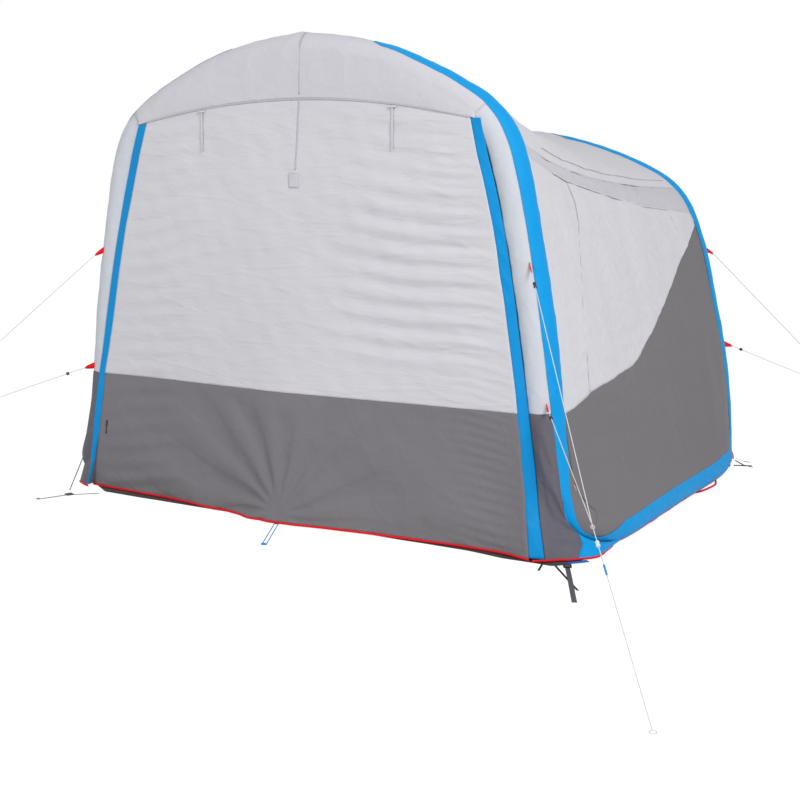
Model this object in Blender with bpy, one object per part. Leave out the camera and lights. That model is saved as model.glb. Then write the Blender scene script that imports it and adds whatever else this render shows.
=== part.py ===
"""Free-standing inflatable shelter: two air arches, a base tube down each side and sewn cloth panels."""
import math

import bpy
import bmesh
import numpy as np

# Lengths are in metres. X runs across the doorway, Y from the doorway to the back, Z up.
# The origin is on the ground under the middle of the shelter's box.

# Air frame: the outline of each arch is its height, the base width and a table of shares
FRONT_CROWN_Z = 2.073
REAR_CROWN_Z = 1.713
BASE_HALF_WIDTH = 1.37
BASE_BOW = 0.015
FRONT_ARCH_Y = -0.80
ARCH_SPACING = 2.005
REAR_ARCH_Y = FRONT_ARCH_Y + ARCH_SPACING
FRONT_ARCH_SHARES = (
    (0.0, 1.0), (0.19, 0.983), (0.336, 0.958), (0.467, 0.922), (0.555, 0.893), (0.637, 0.859),
    (0.695, 0.815), (0.73, 0.755), (0.772, 0.627), (0.825, 0.438), (0.85, 0.301), (0.869, 0.212),
    (0.9, 0.125))
REAR_ARCH_SHARES = (
    (0.0, 1.0), (0.16, 0.992), (0.318, 0.968), (0.429, 0.943), (0.539, 0.911), (0.645, 0.872),
    (0.703, 0.841), (0.746, 0.804), (0.786, 0.74), (0.824, 0.652), (0.864, 0.518), (0.91, 0.355),
    (0.937, 0.203))
CORNER_REACH = 0.25
CORNER_MID_OUT = 0.055
CORNER_MID_BACK = 0.055
CORNER_MID_Z = 0.125

# Air tube, the cloth sleeve round it and the coloured band on its outer side
BEAM_RADIUS = 0.0735
BEAM_WALL = 0.005
BEAM_SIDES = 12
BORE_SIDES = 8
SLEEVE_FIT = 0.0006
SLEEVE_CLOTH = 0.0018
SLEEVE_INNER_RADIUS = BEAM_RADIUS + SLEEVE_FIT
SLEEVE_RADIUS = SLEEVE_INNER_RADIUS + SLEEVE_CLOTH
FACET_DEG = 360.0 / BEAM_SIDES
BAND_SIDES = 3
BAND_BACK_DEG = 120.0
BAND_FRONT_DEG = BAND_BACK_DEG - BAND_SIDES * FACET_DEG
BAND_START_X = 0.45
FRONT_STATIONS = 17
BASE_STATIONS = 5
REAR_STATIONS = 16
CURVE_WEIGHT = 0.30
CURVE_STEPS = 24

# Cloth panels and seams
CLOTH = 0.0016
SEAM_GAP = 0.0005
TOUCH_GAP = 0.0003
EDGE_STANDOFF = 0.0006
FLAT_SHARE = 0.3
GROUNDSHEET_THICKNESS = 0.004
BASE_Z = GROUNDSHEET_THICKNESS + SEAM_GAP + SLEEVE_RADIUS
SHOULDER_FRONT_SHARE = 0.8008
SHOULDER_REAR_SHARE = 0.8581
SHOULDER_FRONT_Z = FRONT_CROWN_Z * SHOULDER_FRONT_SHARE
SHOULDER_REAR_Z = REAR_CROWN_Z * SHOULDER_REAR_SHARE
VENT_SHARE = 0.91
ROOF_SAG = 0.085
SAG_CENTRE_Z = 0.9
VENT_PLEAT = 0.008
ROOF_COLUMNS = 8
KNOT_MARGIN_SHARE = 0.004
COLOUR_SPLIT_SHARES = (
    (0.0, 0.34), (0.2, 0.375), (0.45, 0.42), (0.57, 0.49), (0.7, 0.6), (0.85, 0.765), (1.0, 0.875))

# Doorway: the door hangs from a curved seam and closes against a flap down each leg
DOOR_FORWARD = 0.080
HEADER_DEPTH_SHARE = 0.1023
SEAM_FALL_SHARE = 0.0429
DOOR_SEAM_CROWN_Z = FRONT_CROWN_Z * (1.0 - HEADER_DEPTH_SHARE)
DOOR_SEAM_SIDE_Z = DOOR_SEAM_CROWN_Z - FRONT_CROWN_Z * SEAM_FALL_SHARE
DOOR_EDGE_SHARES = (
    (0.8438, 0.0), (0.8219, 0.1484), (0.7905, 0.3132), (0.7642, 0.4628), (0.7394, 0.5784), (0.7175, 0.6806),
    (0.6927, 0.7726), (0.654, 0.8871), (0.6153, 1.0))
DOOR_TOP_X = BASE_HALF_WIDTH * DOOR_EDGE_SHARES[-1][0]
DOOR_SPLIT_Z = 0.585
DOOR_BULGE = 0.018
DOOR_HEM_PULL = 0.135
DOOR_COLUMNS = 16
DOOR_UPPER_ROWS = 7
DOOR_LOWER_ROWS = 6
DOOR_FOLDS = 5
DOOR_FOLD_DEPTH = 0.006
HEM_RADIUS = 0.005
HEM_SIDES = 6
HEM_Z = GROUNDSHEET_THICKNESS + SEAM_GAP + HEM_RADIUS
SEAM_TURN_SHARES = ((0.7381, 30.0), (0.8104, 24.0), (0.8553, 0.0), (0.8953, 30.0))
FLAP_OVERLAP = 0.004
FLAP_CLEARANCE = 0.0006
FLAP_INNER_FORWARD = DOOR_FORWARD - CLOTH - FLAP_CLEARANCE
FLAP_BOTTOM_Z = HEM_Z + HEM_RADIUS + 2 * TOUCH_GAP
HEADER_END_SHARE = 0.6431
HEADER_END_X = BASE_HALF_WIDTH * HEADER_END_SHARE
HEADER_ROWS = 2

# Back wall and floor
REAR_INSET = SLEEVE_RADIUS + EDGE_STANDOFF
REAR_SPLIT_SHARE = 0.80
REAR_BULGE = 0.025
GROUNDSHEET_HALF = 1.40
GROUNDSHEET_FRONT_OVERHANG = 0.165
GROUNDSHEET_BACK_OVERHANG = 0.080
GROUNDSHEET_CORNER = 0.10
GROUNDSHEET_CORNER_POINTS = 7

# Inflation valves, one in the inner side of each arch's right leg
VALVE_HEIGHT = 0.42
VALVE_DEG = 180.0
VALVE_NECK_RADIUS = 0.012
VALVE_BORE_RADIUS = 0.008
VALVE_FLANGE_RADIUS = 0.020
VALVE_FLANGE = 0.003
VALVE_DEPTH = 0.010
VALVE_RISE = 0.009
VALVE_STANDOFF = 0.0009
VALVE_RECESS = 0.010
VALVE_FIT = 0.0004
CAP_RADIUS = 0.0165
CAP_THICKNESS = 0.005
CAP_SIDES = 16

# Zip sliders, which close the door at the foot of each flap
SLIDER_LENGTH = 0.030
SLIDER_WIDTH = 0.014
SLIDER_THICKNESS = 0.005
SLIDER_PULL = 0.038
SLIDER_NECK_SHARE = 0.45
SLIDER_WAIST_SHARE = 0.25
SLIDER_SHOULDER_SHARE = 0.7
SLIDER_Z = 0.32
SLIDER_KNEE_Z = 0.34
SLIDER_TRAVEL = 0.68
SLIDER_INSET = 0.004
SLIDER_CLEARANCE = 0.0004

# Guy lines, their sewn tabs and the runners that tighten them
TAB_LENGTH = 0.050
TAB_WIDTH = 0.030
TAB_TIP = 0.014
TAB_THICKNESS = 0.0022
TAB_FOOT_SHARE = 0.2
TAB_SHOULDER_SHARE = 0.9
TAB_NOSE_SHARE = 0.2
TAB_LIFT_SHARE = 0.35
TAB_STANDOFF = 0.0008
FRONT_TAB_HEIGHTS = (1.175, 0.610)
REAR_TAB_HEIGHTS = (1.130, 0.640)
FRONT_TAB_DEG = 30.0
REAR_TAB_DEG = 75.0
CORD_RADIUS = 0.00175
CORD_POINTS = 14
RUNNER_BORE = 0.0026
RUNNER_LENGTH = 0.026
RUNNER_RADIUS = 0.0075
RUNNER_WAIST = 0.0055
RUNNER_END_SHARE = 0.8
RUNNER_LIP_SHARE = 0.15
RUNNER_WAIST_SHARE = 0.4
BEAD_LENGTH = 0.014
BEAD_RADIUS = 0.0075
RUNNER_SIDES = 10

# Where each guy line joins and reaches the ground, chosen by hand
FRONT_RIGHT_JOIN = (1.713, -1.628, 0.363)
FRONT_RIGHT_GROUND = (2.188, -2.349, 0.006)
FRONT_LEFT_JOIN = (-1.713, -1.628, 0.363)
FRONT_LEFT_GROUND = (-1.960, -1.990, 0.006)
REAR_RIGHT_JOIN = (1.850, 1.790, 0.350)
REAR_RIGHT_GROUND = (2.100, 2.110, 0.006)
JOIN_EASE = 0.024
FRONT_RIGHT_UPPER_RUNNER_AT = 0.055
FRONT_RIGHT_LOWER_RUNNER_AT = 0.050
FRONT_RIGHT_MAIN_RUNNER_AT = 0.080
FRONT_LEFT_LOWER_RUNNER_AT = 0.080
REAR_RIGHT_LOWER_RUNNER_AT = 0.050

# Webbing at the feet, its buckle, the plate and the one steel peg
WEB_THICKNESS = 0.0016
WEB_WIDTH = 0.020
NARROW_WEB_WIDTH = 0.012
FOOT_CLEARANCE = 0.0006
BUCKLE_LENGTH = 0.034
BUCKLE_WIDTH = 0.034
BUCKLE_THICKNESS = 0.005
BUCKLE_BAR = 0.005
BUCKLE_LIFT = WEB_THICKNESS + FOOT_CLEARANCE
BUCKLE_AT = 0.012
CROSSING_FROM = 0.14
CROSSING_TO = 0.33
FRONT_RIGHT_STRAP_TIP = (1.554, -1.384)
FRONT_RIGHT_NARROW_FROM = (1.290, -0.966)
FRONT_RIGHT_NARROW_TIP = (1.509, -1.244)
FRONT_LEFT_NARROW_FROM_X = -1.120
FRONT_LEFT_JOIN_PLATE = (-1.214, -1.046)
FRONT_LEFT_STRAP_TOUCH = (-1.290, -0.985)
FRONT_LEFT_PEG_TIP = (-1.281, -1.202)
LEG_STRAP_Z = 0.135
REAR_STRAP_TIP = (1.480, 1.260)
PEG_RADIUS = 0.0025
PEG_HOOK = 0.018

# Door ties and the loop that pegs the door's hem
TIE_X = 0.495
TIE_DROP = 0.006
TIE_LENGTH = 0.18
TIE_WIDTH = 0.010
TIE_TOGGLE_LENGTH = 0.034
TIE_TOGGLE_RADIUS = 0.004
TIE_CLEARANCE = 0.0007
PEG_LOOP_X = -0.030
PEG_LOOP_TUCK = 0.0015
PEG_LOOP_TIP = (0.118, -1.313)
LOOP_WIRE = 0.0022
LOOP_WIDTH = 0.018
LOOP_SIDES = 6
LOOP_END_POINTS = 7
LOOP_TOGGLE_LENGTH = 0.024
LOOP_TOGGLE_RADIUS = 0.005

OVERRUN = 0.010


def clear_scene():
    for item in list(bpy.data.objects):
        bpy.data.objects.remove(item, do_unlink=True)


def material(name, colour, roughness, metallic=0.0):
    made = bpy.data.materials.new(name)
    made.use_nodes = True
    shader = made.node_tree.nodes["Principled BSDF"]
    shader.inputs["Base Color"].default_value = (*colour, 1.0)
    shader.inputs["Roughness"].default_value = roughness
    shader.inputs["Metallic"].default_value = metallic
    return made


def add_object(name, shape, finish, crease_deg=35.0):
    """Turn a bmesh into a named object with its own material."""
    bmesh.ops.recalc_face_normals(shape, faces=shape.faces)
    mesh = bpy.data.meshes.new(name)
    shape.to_mesh(mesh)
    shape.free()
    mesh.shade_smooth()
    mesh.set_sharp_from_angle(angle=math.radians(crease_deg))
    own = finish.copy()
    own.name = name + "_finish"
    mesh.materials.append(own)
    item = bpy.data.objects.new(name, mesh)
    bpy.context.scene.collection.objects.link(item)
    return item


def hide_cutter(item):
    item.hide_render = True
    item.display_type = 'WIRE'


def cut(item, cutter):
    step = item.modifiers.new("cut_" + cutter.name, 'BOOLEAN')
    step.operation = 'DIFFERENCE'
    step.solver = 'EXACT'
    step.object = cutter
    hide_cutter(cutter)


def unit(vector):
    vector = np.asarray(vector, dtype=float)
    return vector / np.linalg.norm(vector)


def mirrored(points):
    return np.asarray(points) * np.array([-1.0, 1.0, 1.0])


def arc_lengths(points):
    steps = np.linalg.norm(np.diff(points, axis=0), axis=1)
    return np.concatenate([[0.0], np.cumsum(steps)])


def at_share(points, share):
    """The point a share of the way along a polyline."""
    lengths = arc_lengths(points)
    target = np.asarray(share) * lengths[-1]
    return np.stack([np.interp(target, lengths, points[:, axis]) for axis in range(3)], axis=-1)


def share_at_height(points, height):
    """How far along a rising polyline a height is reached."""
    lengths = arc_lengths(points)
    return float(np.interp(height, points[:, 2], lengths) / lengths[-1])


def smooth_curve(points, steps):
    """A centripetal Catmull-Rom curve through the given points."""
    points = np.asarray(points, dtype=float)
    ends = np.vstack([2 * points[0] - points[1], points, 2 * points[-1] - points[-2]])
    traced = []
    for block in (ends[index:index + 4] for index in range(len(ends) - 3)):
        gaps = np.sqrt(np.linalg.norm(np.diff(block, axis=0), axis=1))
        knots = np.concatenate([[0.0], np.cumsum(gaps)])
        for value in np.linspace(knots[1], knots[2], steps, endpoint=False):
            def mix(first, second, low, high):
                span = knots[high] - knots[low]
                return ((knots[high] - value) * first + (value - knots[low]) * second) / span
            lines = [mix(block[k], block[k + 1], k, k + 1) for k in range(3)]
            bends = [mix(lines[k], lines[k + 1], k, k + 2) for k in range(2)]
            traced.append(mix(bends[0], bends[1], 1, 2))
    traced.append(points[-1])
    return np.array(traced)


def stations(points, count):
    """Places along a curve, closer together where it bends."""
    lengths = arc_lengths(points)
    headings = np.diff(points, axis=0)
    headings /= np.linalg.norm(headings, axis=1)[:, None]
    turns = np.arccos(np.clip(np.sum(headings[1:] * headings[:-1], axis=1), -1.0, 1.0))
    measure = lengths.copy()
    measure[1:-1] += CURVE_WEIGHT * np.cumsum(turns)
    measure[-1] = lengths[-1] + CURVE_WEIGHT * turns.sum()
    targets = np.linspace(0.0, measure[-1], count + 1)
    return np.stack([np.interp(targets, measure, points[:, axis]) for axis in range(3)], axis=-1)


def arch_points(shares, crown_z, plane_y):
    return [(across * BASE_HALF_WIDTH, plane_y, up * crown_z) for across, up in shares]


def side_frame():
    """Centre line of the right side's tube from crown to crown, with its front and outward directions."""
    front = arch_points(FRONT_ARCH_SHARES, FRONT_CROWN_Z, FRONT_ARCH_Y)
    rear = arch_points(REAR_ARCH_SHARES, REAR_CROWN_Z, REAR_ARCH_Y)
    corner_x = BASE_HALF_WIDTH - CORNER_MID_OUT
    front_corner = (corner_x, FRONT_ARCH_Y + CORNER_MID_BACK, CORNER_MID_Z)
    rear_corner = (corner_x, REAR_ARCH_Y - CORNER_MID_BACK, CORNER_MID_Z)
    front_end = (BASE_HALF_WIDTH, FRONT_ARCH_Y + CORNER_REACH, BASE_Z)
    rear_end = (BASE_HALF_WIDTH, REAR_ARCH_Y - CORNER_REACH, BASE_Z)
    middle = (BASE_HALF_WIDTH + BASE_BOW, (FRONT_ARCH_Y + REAR_ARCH_Y) / 2, BASE_Z)
    knots = front + [front_corner, front_end, middle, rear_end, rear_corner] + rear[::-1]
    steps = CURVE_STEPS
    traced = smooth_curve(knots, steps)
    front_stop = (len(front) + 1) * steps
    rear_start = (len(front) + 3) * steps
    parts = (
        stations(traced[:front_stop + 1], FRONT_STATIONS),
        stations(traced[front_stop:rear_start + 1], BASE_STATIONS)[1:],
        stations(traced[rear_start:], REAR_STATIONS)[1:],
    )
    centre = np.vstack(parts)
    centre[:, 2] = np.maximum(centre[:, 2], BASE_Z)
    headings = np.gradient(centre, axis=0)
    headings[0] = (1.0, 0.0, 0.0)
    headings[-1] = (-1.0, 0.0, 0.0)
    headings /= np.linalg.norm(headings, axis=1)[:, None]
    fronts = [np.array([0.0, -1.0, 0.0])]
    for heading in headings[1:]:
        carried = fronts[-1] - np.dot(fronts[-1], heading) * heading
        fronts.append(unit(carried))
    fronts = np.array(fronts)
    outs = np.cross(fronts, headings)
    twist = math.atan2(-fronts[-1][2], fronts[-1][1])
    ramp = np.zeros(len(centre))
    ramp[FRONT_STATIONS:FRONT_STATIONS + BASE_STATIONS + 1] = np.linspace(0.0, 1.0, BASE_STATIONS + 1)
    ramp[FRONT_STATIONS + BASE_STATIONS:] = 1.0
    angles = (twist * ramp)[:, None]
    turned_fronts = fronts * np.cos(angles) + outs * np.sin(angles)
    turned_outs = np.cross(turned_fronts, headings)
    return centre, headings, turned_fronts, turned_outs


def ring_points(frame, index, radius, degrees):
    """Points on the tube at one station; 0 degrees faces forward, 90 faces outward."""
    centre, _, fronts, outs = frame
    turn = np.radians(np.atleast_1d(degrees))[:, None]
    return centre[index] + radius * (np.cos(turn) * fronts[index] + np.sin(turn) * outs[index])


def both_sides(rows):
    """Stations of the right side, crown first, joined to their mirror image through the crown."""
    rows = np.asarray(rows)
    return np.concatenate([rows[::-1], mirrored(rows[1:])])


def quad_grid(shape, grid, wrap=False, split=False):
    """Add a grid of points and its faces, split on one diagonal if asked; returns the vertices."""
    verts = [[shape.verts.new(point) for point in row] for row in grid]
    columns = len(verts[0])
    last = columns if wrap else columns - 1
    for upper, lower in zip(verts[:-1], verts[1:]):
        for column in range(last):
            after = (column + 1) % columns
            face = (upper[column], upper[after], lower[after], lower[column])
            if split:
                shape.faces.new((face[0], face[1], face[2]))
                shape.faces.new((face[0], face[2], face[3]))
            else:
                shape.faces.new(face)
    return verts


def closed_tube(rings, split=False):
    """A tube through rings of points, with both ends capped."""
    shape = bmesh.new()
    verts = quad_grid(shape, rings, wrap=True, split=split)
    shape.faces.new(verts[0])
    shape.faces.new(verts[-1][::-1])
    return shape


def shell_between(outer, inner):
    """A sheet with thickness: two grids of points, joined round their edges."""
    shape = bmesh.new()
    top = quad_grid(shape, outer)
    bottom = quad_grid(shape, inner)
    loops = []
    for side in (top, bottom):
        loop = list(side[0]) + [row[-1] for row in side[1:]] + list(side[-1][-2::-1])
        loop += [row[0] for row in side[-2:0:-1]]
        loops.append(loop)
    count = len(loops[0])
    for index in range(count):
        after = (index + 1) % count
        shape.faces.new((loops[0][index], loops[0][after], loops[1][after], loops[1][index]))
    return shape


def grid_normals(grid):
    down = np.gradient(grid, axis=0)
    across = np.gradient(grid, axis=1)
    normals = np.cross(down, across)
    return normals / np.linalg.norm(normals, axis=2)[:, :, None]


def panel(name, grid, finish, thickness=CLOTH):
    """A sewn cloth panel, as thick as its cloth, about a grid of points."""
    grid = np.asarray(grid)
    normals = grid_normals(grid) * thickness / 2
    return add_object(name, shell_between(grid + normals, grid - normals), finish, 50.0)


def turned(profile, start, direction, sides):
    """A turned solid: (distance along, radius) pairs about an axis, closed on the axis at both ends."""
    direction = unit(direction)
    side = unit(np.cross(direction, (0.0, 0.0, 1.0) if abs(direction[2]) < 0.9 else (1.0, 0.0, 0.0)))
    other = np.cross(direction, side)
    turns = np.linspace(0.0, 2 * math.pi, sides, endpoint=False)
    circle = np.cos(turns)[:, None] * side + np.sin(turns)[:, None] * other
    rings = [np.asarray(start) + along * direction + radius * circle for along, radius in profile]
    return closed_tube(rings)


def turned_ring(profile, start, direction, sides):
    """A turned solid with a bore: the profile is a closed loop of (distance along, radius) pairs."""
    direction = unit(direction)
    side = unit(np.cross(direction, (0.0, 0.0, 1.0) if abs(direction[2]) < 0.9 else (1.0, 0.0, 0.0)))
    other = np.cross(direction, side)
    shape = bmesh.new()
    rows = []
    for turn in np.linspace(0.0, 2 * math.pi, sides, endpoint=False):
        spoke = math.cos(turn) * side + math.sin(turn) * other
        rows.append([shape.verts.new(np.asarray(start) + a * direction + r * spoke) for a, r in profile])
    for row, after in zip(rows, rows[1:] + rows[:1]):
        for index in range(len(profile)):
            following = (index + 1) % len(profile)
            shape.faces.new((row[index], row[following], after[following], after[index]))
    return shape


def plate(outline, origin, across, along, thickness):
    """A flat plate from an outline of (across, along) pairs."""
    across = unit(across)
    along = unit(along)
    normal = unit(np.cross(across, along))
    shape = bmesh.new()
    sides = []
    for offset in (thickness / 2, -thickness / 2):
        sides.append([shape.verts.new(origin + a * across + b * along + offset * normal) for a, b in outline])
    shape.faces.new(sides[0])
    shape.faces.new(sides[1][::-1])
    for index in range(len(outline)):
        after = (index + 1) % len(outline)
        shape.faces.new((sides[0][index], sides[1][index], sides[1][after], sides[0][after]))
    return shape


def slotted_plate(columns, rows, slots, origin, across, along, thickness):
    """A flat plate on a grid of cells, with the listed cells left open."""
    across = unit(across)
    along = unit(along)
    normal = np.cross(across, along)
    shape = bmesh.new()
    corners = {}

    def corner(i, j, side):
        key = (i, j, side)
        if key not in corners:
            offset = thickness / 2 if side else -thickness / 2
            corners[key] = shape.verts.new(origin + columns[i] * across + rows[j] * along + offset * normal)
        return corners[key]

    kept = {(i, j) for i in range(len(columns) - 1) for j in range(len(rows) - 1) if (i, j) not in slots}
    for i, j in sorted(kept):
        for side in (0, 1):
            shape.faces.new([corner(a, b, side) for a, b in ((i, j), (i + 1, j), (i + 1, j + 1), (i, j + 1))])
        edges = (((i, j), (i + 1, j), (i, j - 1)), ((i + 1, j), (i + 1, j + 1), (i + 1, j)),
                 ((i + 1, j + 1), (i, j + 1), (i, j + 1)), ((i, j + 1), (i, j), (i - 1, j)))
        for first, second, neighbour in edges:
            if neighbour not in kept:
                ends = ((*first, 0), (*second, 0), (*second, 1), (*first, 1))
                shape.faces.new([corner(*end) for end in ends])
    return shape


def wire(points, radius, sides, closed=False):
    """A round wire or piping along a path, open with capped ends or closed in a loop."""
    points = np.asarray(points, dtype=float)
    if closed:
        headings = np.roll(points, -1, axis=0) - np.roll(points, 1, axis=0)
    else:
        headings = np.gradient(points, axis=0)
    rings = []
    lift = None
    for point, heading in zip(points, headings):
        heading = unit(heading)
        if lift is None:
            lift = np.array([0.0, 0.0, 1.0]) if abs(heading[2]) < 0.9 else np.array([0.0, 1.0, 0.0])
        lift = unit(lift - np.dot(lift, heading) * heading)
        side = np.cross(heading, lift)
        turns = np.linspace(0.0, 2 * math.pi, sides, endpoint=False)
        rings.append(point + radius * (np.cos(turns)[:, None] * lift + np.sin(turns)[:, None] * side))
    if not closed:
        return closed_tube(rings)
    shape = bmesh.new()
    verts = quad_grid(shape, rings, wrap=True)
    for column in range(sides):
        after = (column + 1) % sides
        shape.faces.new((verts[-1][column], verts[-1][after], verts[0][after], verts[0][column]))
    return shape


def ribbon(points, across, width, thickness):
    """Webbing of one width along a path."""
    points = np.asarray(points, dtype=float)
    across = unit(across)
    grid = np.stack([points - across * width / 2, points + across * width / 2], axis=1)
    normals = grid_normals(grid) * thickness / 2
    return shell_between(grid + normals, grid - normals)


def coons(bottom, top, left, right, across_shares, up_rows):
    """A patch between four edges; up_rows gives a height share for each column of each row."""
    rows = []
    for heights in up_rows:
        row = []
        for u, v in zip(across_shares, heights):
            edges = (1 - v) * bottom(u) + v * top(u) + (1 - u) * left(v) + u * right(v)
            corners = ((1 - u) * (1 - v) * bottom(0.0) + u * (1 - v) * bottom(1.0)
                       + (1 - u) * v * top(0.0) + u * v * top(1.0))
            row.append(edges - corners)
        rows.append(row)
    return np.array(rows)


def sagged(grid, depths):
    """Draw a grid of points in towards the shelter's middle line."""
    inward = grid * np.array([-1.0, 0.0, -1.0])
    inward[:, :, 2] += SAG_CENTRE_Z
    inward /= np.linalg.norm(inward, axis=2)[:, :, None]
    return grid + inward * depths[:, :, None]


def thickened(outer, inner, faces):
    """A sheet with thickness from two layers of points and the faces of its outer layer."""
    shape = bmesh.new()
    used = sorted({index for face in faces for index in face})
    above = {index: shape.verts.new(outer[index]) for index in used}
    below = {index: shape.verts.new(inner[index]) for index in used}
    edges = {(face[k], face[(k + 1) % len(face)]) for face in faces for k in range(len(face))}
    for face in faces:
        shape.faces.new([above[index] for index in face])
        shape.faces.new([below[index] for index in reversed(face)])
    for first, second in sorted(edges):
        if (second, first) not in edges:
            shape.faces.new((above[second], above[first], below[first], below[second]))
    return shape


def band_widths(frame):
    """How many facets wide the band is at each station: a point near the crown, full width on the legs."""
    across = frame[0][:, 0]
    inside = np.flatnonzero(across >= BAND_START_X)
    widths = np.zeros(len(across), dtype=int)
    for index in inside:
        from_end = min(index - inside[0], inside[-1] - index)
        widths[index] = min(from_end, BAND_SIDES)
    return widths


def make_beam(name, frame, indices, finish, split=None):
    """An air tube: an outer skin with a hollow, opened where its valve is fitted."""
    def rings(radius, sides, trim):
        turns = np.linspace(0.0, 360.0, sides, endpoint=False)
        rows = []
        for index in indices:
            row = ring_points(frame, index, radius, turns)
            if index == split:
                row = row + frame[1][index] * SEAM_GAP
            rows.append(row)
        whole = both_sides(rows)
        if trim:
            whole = whole[1:-1]
        return whole

    beam = add_object(name, closed_tube(rings(BEAM_RADIUS, BEAM_SIDES, False), split=True), finish)
    inside = closed_tube(rings(BEAM_RADIUS - BEAM_WALL, BORE_SIDES, True))
    hollow = add_object(name + "_hollow", inside, finish)
    cut(beam, hollow)
    return beam


def strip_faces(low_columns, high_columns, leaning):
    """Faces between stations of a strip whose first and last columns may step over by one.

    Each cell is split on the diagonal that the air tube's own facets are split on: leaning says,
    for each row, whether that diagonal goes to the next column.
    """
    faces = []
    for row in range(len(low_columns) - 1):
        low, next_low = low_columns[row], low_columns[row + 1]
        high, next_high = high_columns[row], high_columns[row + 1]
        for column in range(max(low, next_low), min(high, next_high)):
            near, beside = (row, column), (row, column + 1)
            below, across = (row + 1, column), (row + 1, column + 1)
            if leaning[row]:
                faces += [(near, beside, across), (near, across, below)]
            else:
                faces += [(near, beside, below), (beside, across, below)]
        if next_high > high:
            faces.append(((row, high), (row + 1, next_high), (row + 1, high)))
        if next_high < high:
            faces.append(((row, next_high), (row, high), (row + 1, next_high)))
        if next_low < low:
            faces.append(((row, low), (row + 1, low), (row + 1, next_low)))
        if next_low > low:
            faces.append(((row, low), (row, next_low), (row + 1, next_low)))
    return faces


def layers(frame, indices, degrees, split=None):
    """Outer and inner points of the sleeve cloth at each station, keyed by row and column."""
    outer, inner = {}, {}
    for row, index in enumerate(indices):
        shift = frame[1][index] * SEAM_GAP if index == split else 0.0
        for column, turn in enumerate(degrees):
            outer[row, column] = (ring_points(frame, index, SLEEVE_RADIUS, turn) + shift)[0]
            inner[row, column] = (ring_points(frame, index, SLEEVE_INNER_RADIUS, turn) + shift)[0]
    return outer, inner


def make_sleeve(name, frame, indices, finish, split=None):
    """The cloth tube round an arch, all but the band's facets, with its seam along the roof and walls."""
    gap_deg = math.degrees(SEAM_GAP / SLEEVE_RADIUS)
    degrees = BAND_BACK_DEG + FACET_DEG * np.arange(BEAM_SIDES + 1)
    degrees[0] += gap_deg
    degrees[BEAM_SIDES - BAND_SIDES:] -= gap_deg
    outer, inner = layers(frame, indices, degrees, split)
    widths = band_widths(frame)
    high = [BEAM_SIDES - widths[index] for index in indices]
    low = [0] * len(high)
    faces = strip_faces(low, high, [False] * len(high))
    other = strip_faces(low, high, [True] * len(high))
    whole_outer, whole_inner = {}, {}
    for source, target in ((outer, whole_outer), (inner, whole_inner)):
        for (row, column), point in source.items():
            target[row, column] = point
            if row > 0:
                target[-row, column] = mirrored(point)
    other = [tuple((-row, column) for row, column in reversed(face)) for face in other]
    return add_object(name, thickened(whole_outer, whole_inner, faces + other), finish)


def make_band(name, frame, side, finish):
    """The coloured band down the outside of one side's tube, from crown to crown round the base."""
    gap_deg = math.degrees(SEAM_GAP / SLEEVE_RADIUS)
    degrees = BAND_FRONT_DEG + FACET_DEG * np.arange(BAND_SIDES + 1) + gap_deg
    degrees[-1] -= 2 * gap_deg
    indices = np.flatnonzero(frame[0][:, 0] >= BAND_START_X)
    outer, inner = layers(frame, indices, degrees)
    widths = band_widths(frame)
    low = [BAND_SIDES - widths[index] for index in indices]
    leaning = [(side < 0) != (index >= FRONT_STATIONS) for index in indices]
    faces = strip_faces(low, [BAND_SIDES] * len(low), leaning)
    flip = np.array([side, 1.0, 1.0])
    outer = {key: point * flip for key, point in outer.items()}
    inner = {key: point * flip for key, point in inner.items()}
    return add_object(name, thickened(outer, inner, faces), finish)


def attach_line(frame):
    """Where the roof and walls are sewn on, round the whole right side."""
    radius = SLEEVE_RADIUS + CLOTH / 2 + EDGE_STANDOFF
    return np.array([ring_points(frame, index, radius, BAND_BACK_DEG)[0] for index in range(len(frame[0]))])


def side_edges(frame):
    """Front, rear and bottom edges of the right side, from the foot upwards."""
    line = attach_line(frame)
    low = [index for index in range(len(line)) if frame[0][index][2] <= CORNER_MID_Z]
    front = line[:low[0] + 1][::-1]
    rear = line[low[-1]:]
    bottom = line[low[0]:low[-1] + 1]
    return front, rear, bottom


def own_shares(points):
    """The share of a polyline's length at each of its points."""
    lengths = arc_lengths(points)
    return lengths / lengths[-1]


def filled(low, high, knots, count):
    """Shares from low to high through every knot between, the widest gaps halved until there are enough."""
    margin = KNOT_MARGIN_SHARE
    values = [low] + [knot for knot in knots if low + margin < knot < high - margin] + [high]
    while len(values) < count:
        widest = int(np.argmax(np.diff(values)))
        values.insert(widest + 1, (values[widest] + values[widest + 1]) / 2)
    return np.array(values)


def matched(low_pair, high_pair, knots_pair):
    """As many shares on the front edge as on the rear edge, each through the stations of its own tube."""
    count = max(len(filled(low, high, knots, 0)) for low, high, knots in zip(low_pair, high_pair, knots_pair))
    return [filled(low, high, knots, count) for low, high, knots in zip(low_pair, high_pair, knots_pair)]


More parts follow.
